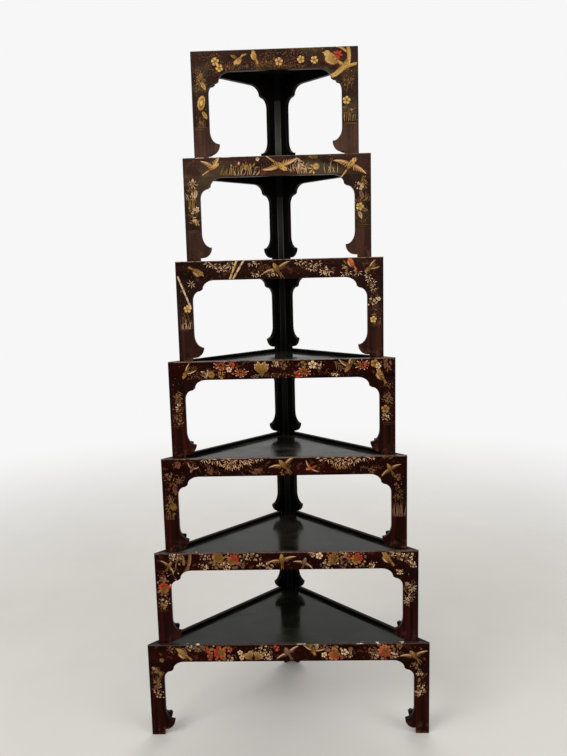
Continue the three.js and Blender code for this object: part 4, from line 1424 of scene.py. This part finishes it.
SIDE_RAIL = {Facing.TOP: SIDE_TOP, Facing.OUTER: OUTER_RAIL, Facing.REST: DARK_RAIL}
SIDE_LEG = {Facing.FRONT: FRONT_LEG, Facing.OUTER: OUTER_LEG, Facing.REST: DARK_LEG}
BOARDS: tuple[tuple[str, str, float, dict[Facing, Lacquer]], ...] = (
    ("left_rail", "black_lacquer", 0.6, SIDE_RAIL),
    ("left_leg", "red_lacquer", 0.6, SIDE_LEG),
    ("right_rail", "black_lacquer", 0.6, SIDE_RAIL),
    ("right_leg", "red_lacquer", 0.6, SIDE_LEG),
    ("front_rail", "red_lacquer", 0.6, {Facing.FRONT: FRONT_RAIL, Facing.TOP: RIM_TOP, Facing.REST: DARK_RAIL}),
    ("back_leg", "black_lacquer", 0.6, {Facing.OUTER: OUTER_LEG, Facing.REST: DARK_LEG}),
    ("back_post", "black_lacquer", 0.4, {Facing.REST: POST}),
    ("shelf_panel", "shelf_lacquer", 0.3, {Facing.TOP: SHELF, Facing.REST: UNDERSIDE}),
)


@dataclass(frozen=True)
class Table:
    """One of the seven tables: its shelf, rails, legs and post, and the work on its front."""

    number: int

    def build(self) -> None:
        """Builds the table's boards and then its ornament."""
        for row in BOARDS:
            Board(f"tier{self.number}", *row).build()
        front = Front.of_tier(self.number)
        for kind, ink, *rows in LAYOUT[self.number]:
            front.draw(kind, ink, rows)
        front.scatter()
        front.build()


# Studio

ROOM = (0.93, 0.93, 0.93, 1.0)


@dataclass(frozen=True)
class Studio:
    """The camera at the photograph's angle, soft light, and a plain pale floor."""

    eye: Triple = (0.0542, -1.7788, 1.1549)
    pitch: float = 8.708
    yaw: float = -1.730
    roll: float = -1.416
    lens: float = 33.17
    floor_tone: Rgb = (226, 223, 218)
    floor_low: Rgb = (221, 218, 213)

    def build(self) -> None:
        """Sets up the camera, lamps, world and floor."""
        self.camera()
        self.lamps()
        self.world()
        self.floor()

    def camera(self) -> None:
        """Places the camera: it looks along yaw and down by pitch, and is then rolled."""
        pitch, yaw, roll = map(math.radians, (self.pitch, self.yaw, self.roll))
        ahead = Vector((math.sin(yaw) * math.cos(pitch), math.cos(yaw) * math.cos(pitch), -math.sin(pitch)))
        side = Vector((math.cos(yaw), -math.sin(yaw), 0.0))
        up = side.cross(ahead)
        across = math.cos(roll) * side + math.sin(roll) * up
        upright = -math.sin(roll) * side + math.cos(roll) * up
        data = bpy.data.cameras.new("camera")
        data.lens, data.sensor_width, data.sensor_fit = self.lens, 36.0, "AUTO"
        camera = bpy.data.objects.new("camera", data)
        bpy.context.scene.collection.objects.link(camera)
        turned = Matrix((across, upright, -ahead)).transposed().to_4x4()
        camera.matrix_world = Matrix.Translation(Vector(self.eye)) @ turned
        bpy.context.scene.camera = camera

    def lamps(self) -> None:
        """Hangs three large soft lamps, each aimed at the middle of the stack."""
        for name, at, size, watts in (
            ("key lamp", (-2.4, -2.6, 2.7), 2.2, 70.0),
            ("fill lamp", (2.6, -2.2, 1.9), 2.2, 34.0),
            ("rear lamp", (0.6, 2.8, 2.9), 2.4, 30.0),
        ):
            data = bpy.data.lights.new(name, "AREA")
            data.shape, data.size, data.energy = "SQUARE", size, watts
            lamp = bpy.data.objects.new(name, data)
            bpy.context.scene.collection.objects.link(lamp)
            lamp.location = at
            lamp.visible_glossy = name == "key lamp"
            lamp.rotation_euler = (Vector((0.0, 0.0, 0.8)) - Vector(at)).to_track_quat("-Z", "Y").to_euler()

    def world(self) -> None:
        """Makes the surroundings: pale to the eye, soft on the object, and mirrored pale from behind it."""
        world = bpy.data.worlds.new("studio")
        bpy.context.scene.world = world
        world.use_nodes = True
        graph = Graph(world.node_tree)
        behind = graph.get("ShaderNodeTexCoord", output="Generated").part("Y").span(0.05, 0.7, 0.08, 0.62)
        soft, mirrored, seen = (
            graph.get("ShaderNodeBackground", {"Color": colour, "Strength": strength}) for colour, strength in
            (((1.0, 0.985, 0.96, 1.0), 0.55), ((0.97, 0.98, 1.0, 1.0), behind), (ROOM, 1.0))
        )
        path = graph.all_of(graph.add("ShaderNodeLightPath"))
        shown = graph.get("ShaderNodeMixShader", {0: path["Is Glossy Ray"], 1: soft, 2: mirrored})
        shown = graph.get("ShaderNodeMixShader", {0: path["Is Camera Ray"], 1: shown, 2: seen})
        graph.fill(world.node_tree.nodes["World Output"], {0: shown})

    def floor(self) -> None:
        """Lays a wide round floor of rings, whose points are radius times cosine and sine.

        Far from the object its colour runs into the pale surroundings, for the camera alone.
        """
        rings, around = np.array([1.5, 4.0, 14.0]), 64
        radius, turn = np.meshgrid(rings, np.linspace(0, 2 * np.pi, around, endpoint=False), indexing="ij")
        points = np.stack([radius * np.cos(turn), radius * np.sin(turn), 0 * radius], axis=-1).reshape(-1, 3)
        points = np.concatenate([points, np.zeros((1, 3))])
        faces = [band(len(rings), around), fan(len(points) - 1, np.arange(around))]
        mesh = mesh_from("floor", points, faces, points[:, :2], {})
        material, graph, shader = new_material("pale_floor")
        place = graph.place()
        tone = place.noise(2.2, 4.0, 0.6).span(0.3, 0.7).blend(self.floor_low, self.floor_tone)
        graph.fill(shader, {"Base Color": tone, "Roughness": 0.7, "Specular IOR Level": 0.2})
        away = graph.get("ShaderNodeVectorMath", {0: place}, "Value", operation="LENGTH")
        share = away.span(0.9, 3.4) * graph.get("ShaderNodeLightPath", output="Is Camera Ray")
        pale = graph.get("ShaderNodeEmission", {"Color": ROOM, "Strength": 1.0})
        shown = graph.get("ShaderNodeMixShader", {0: share, 1: Value(graph, shader.outputs[0]), 2: pale})
        graph.fill(material.node_tree.nodes["Material Output"], {0: shown})
        mesh.materials.append(material)
        floor = bpy.data.objects.new("floor", mesh)
        bpy.context.scene.collection.objects.link(floor)


def main() -> None:
    """Builds the studio and the seven tables."""
    logging.basicConfig(level=logging.INFO, format="%(name)s %(message)s")
    bpy.context.scene.view_settings.view_transform = "Standard"
    Studio().build()
    for number in range(1, 8):
        Table(number).build()


if __name__ == "__main__":
    main()
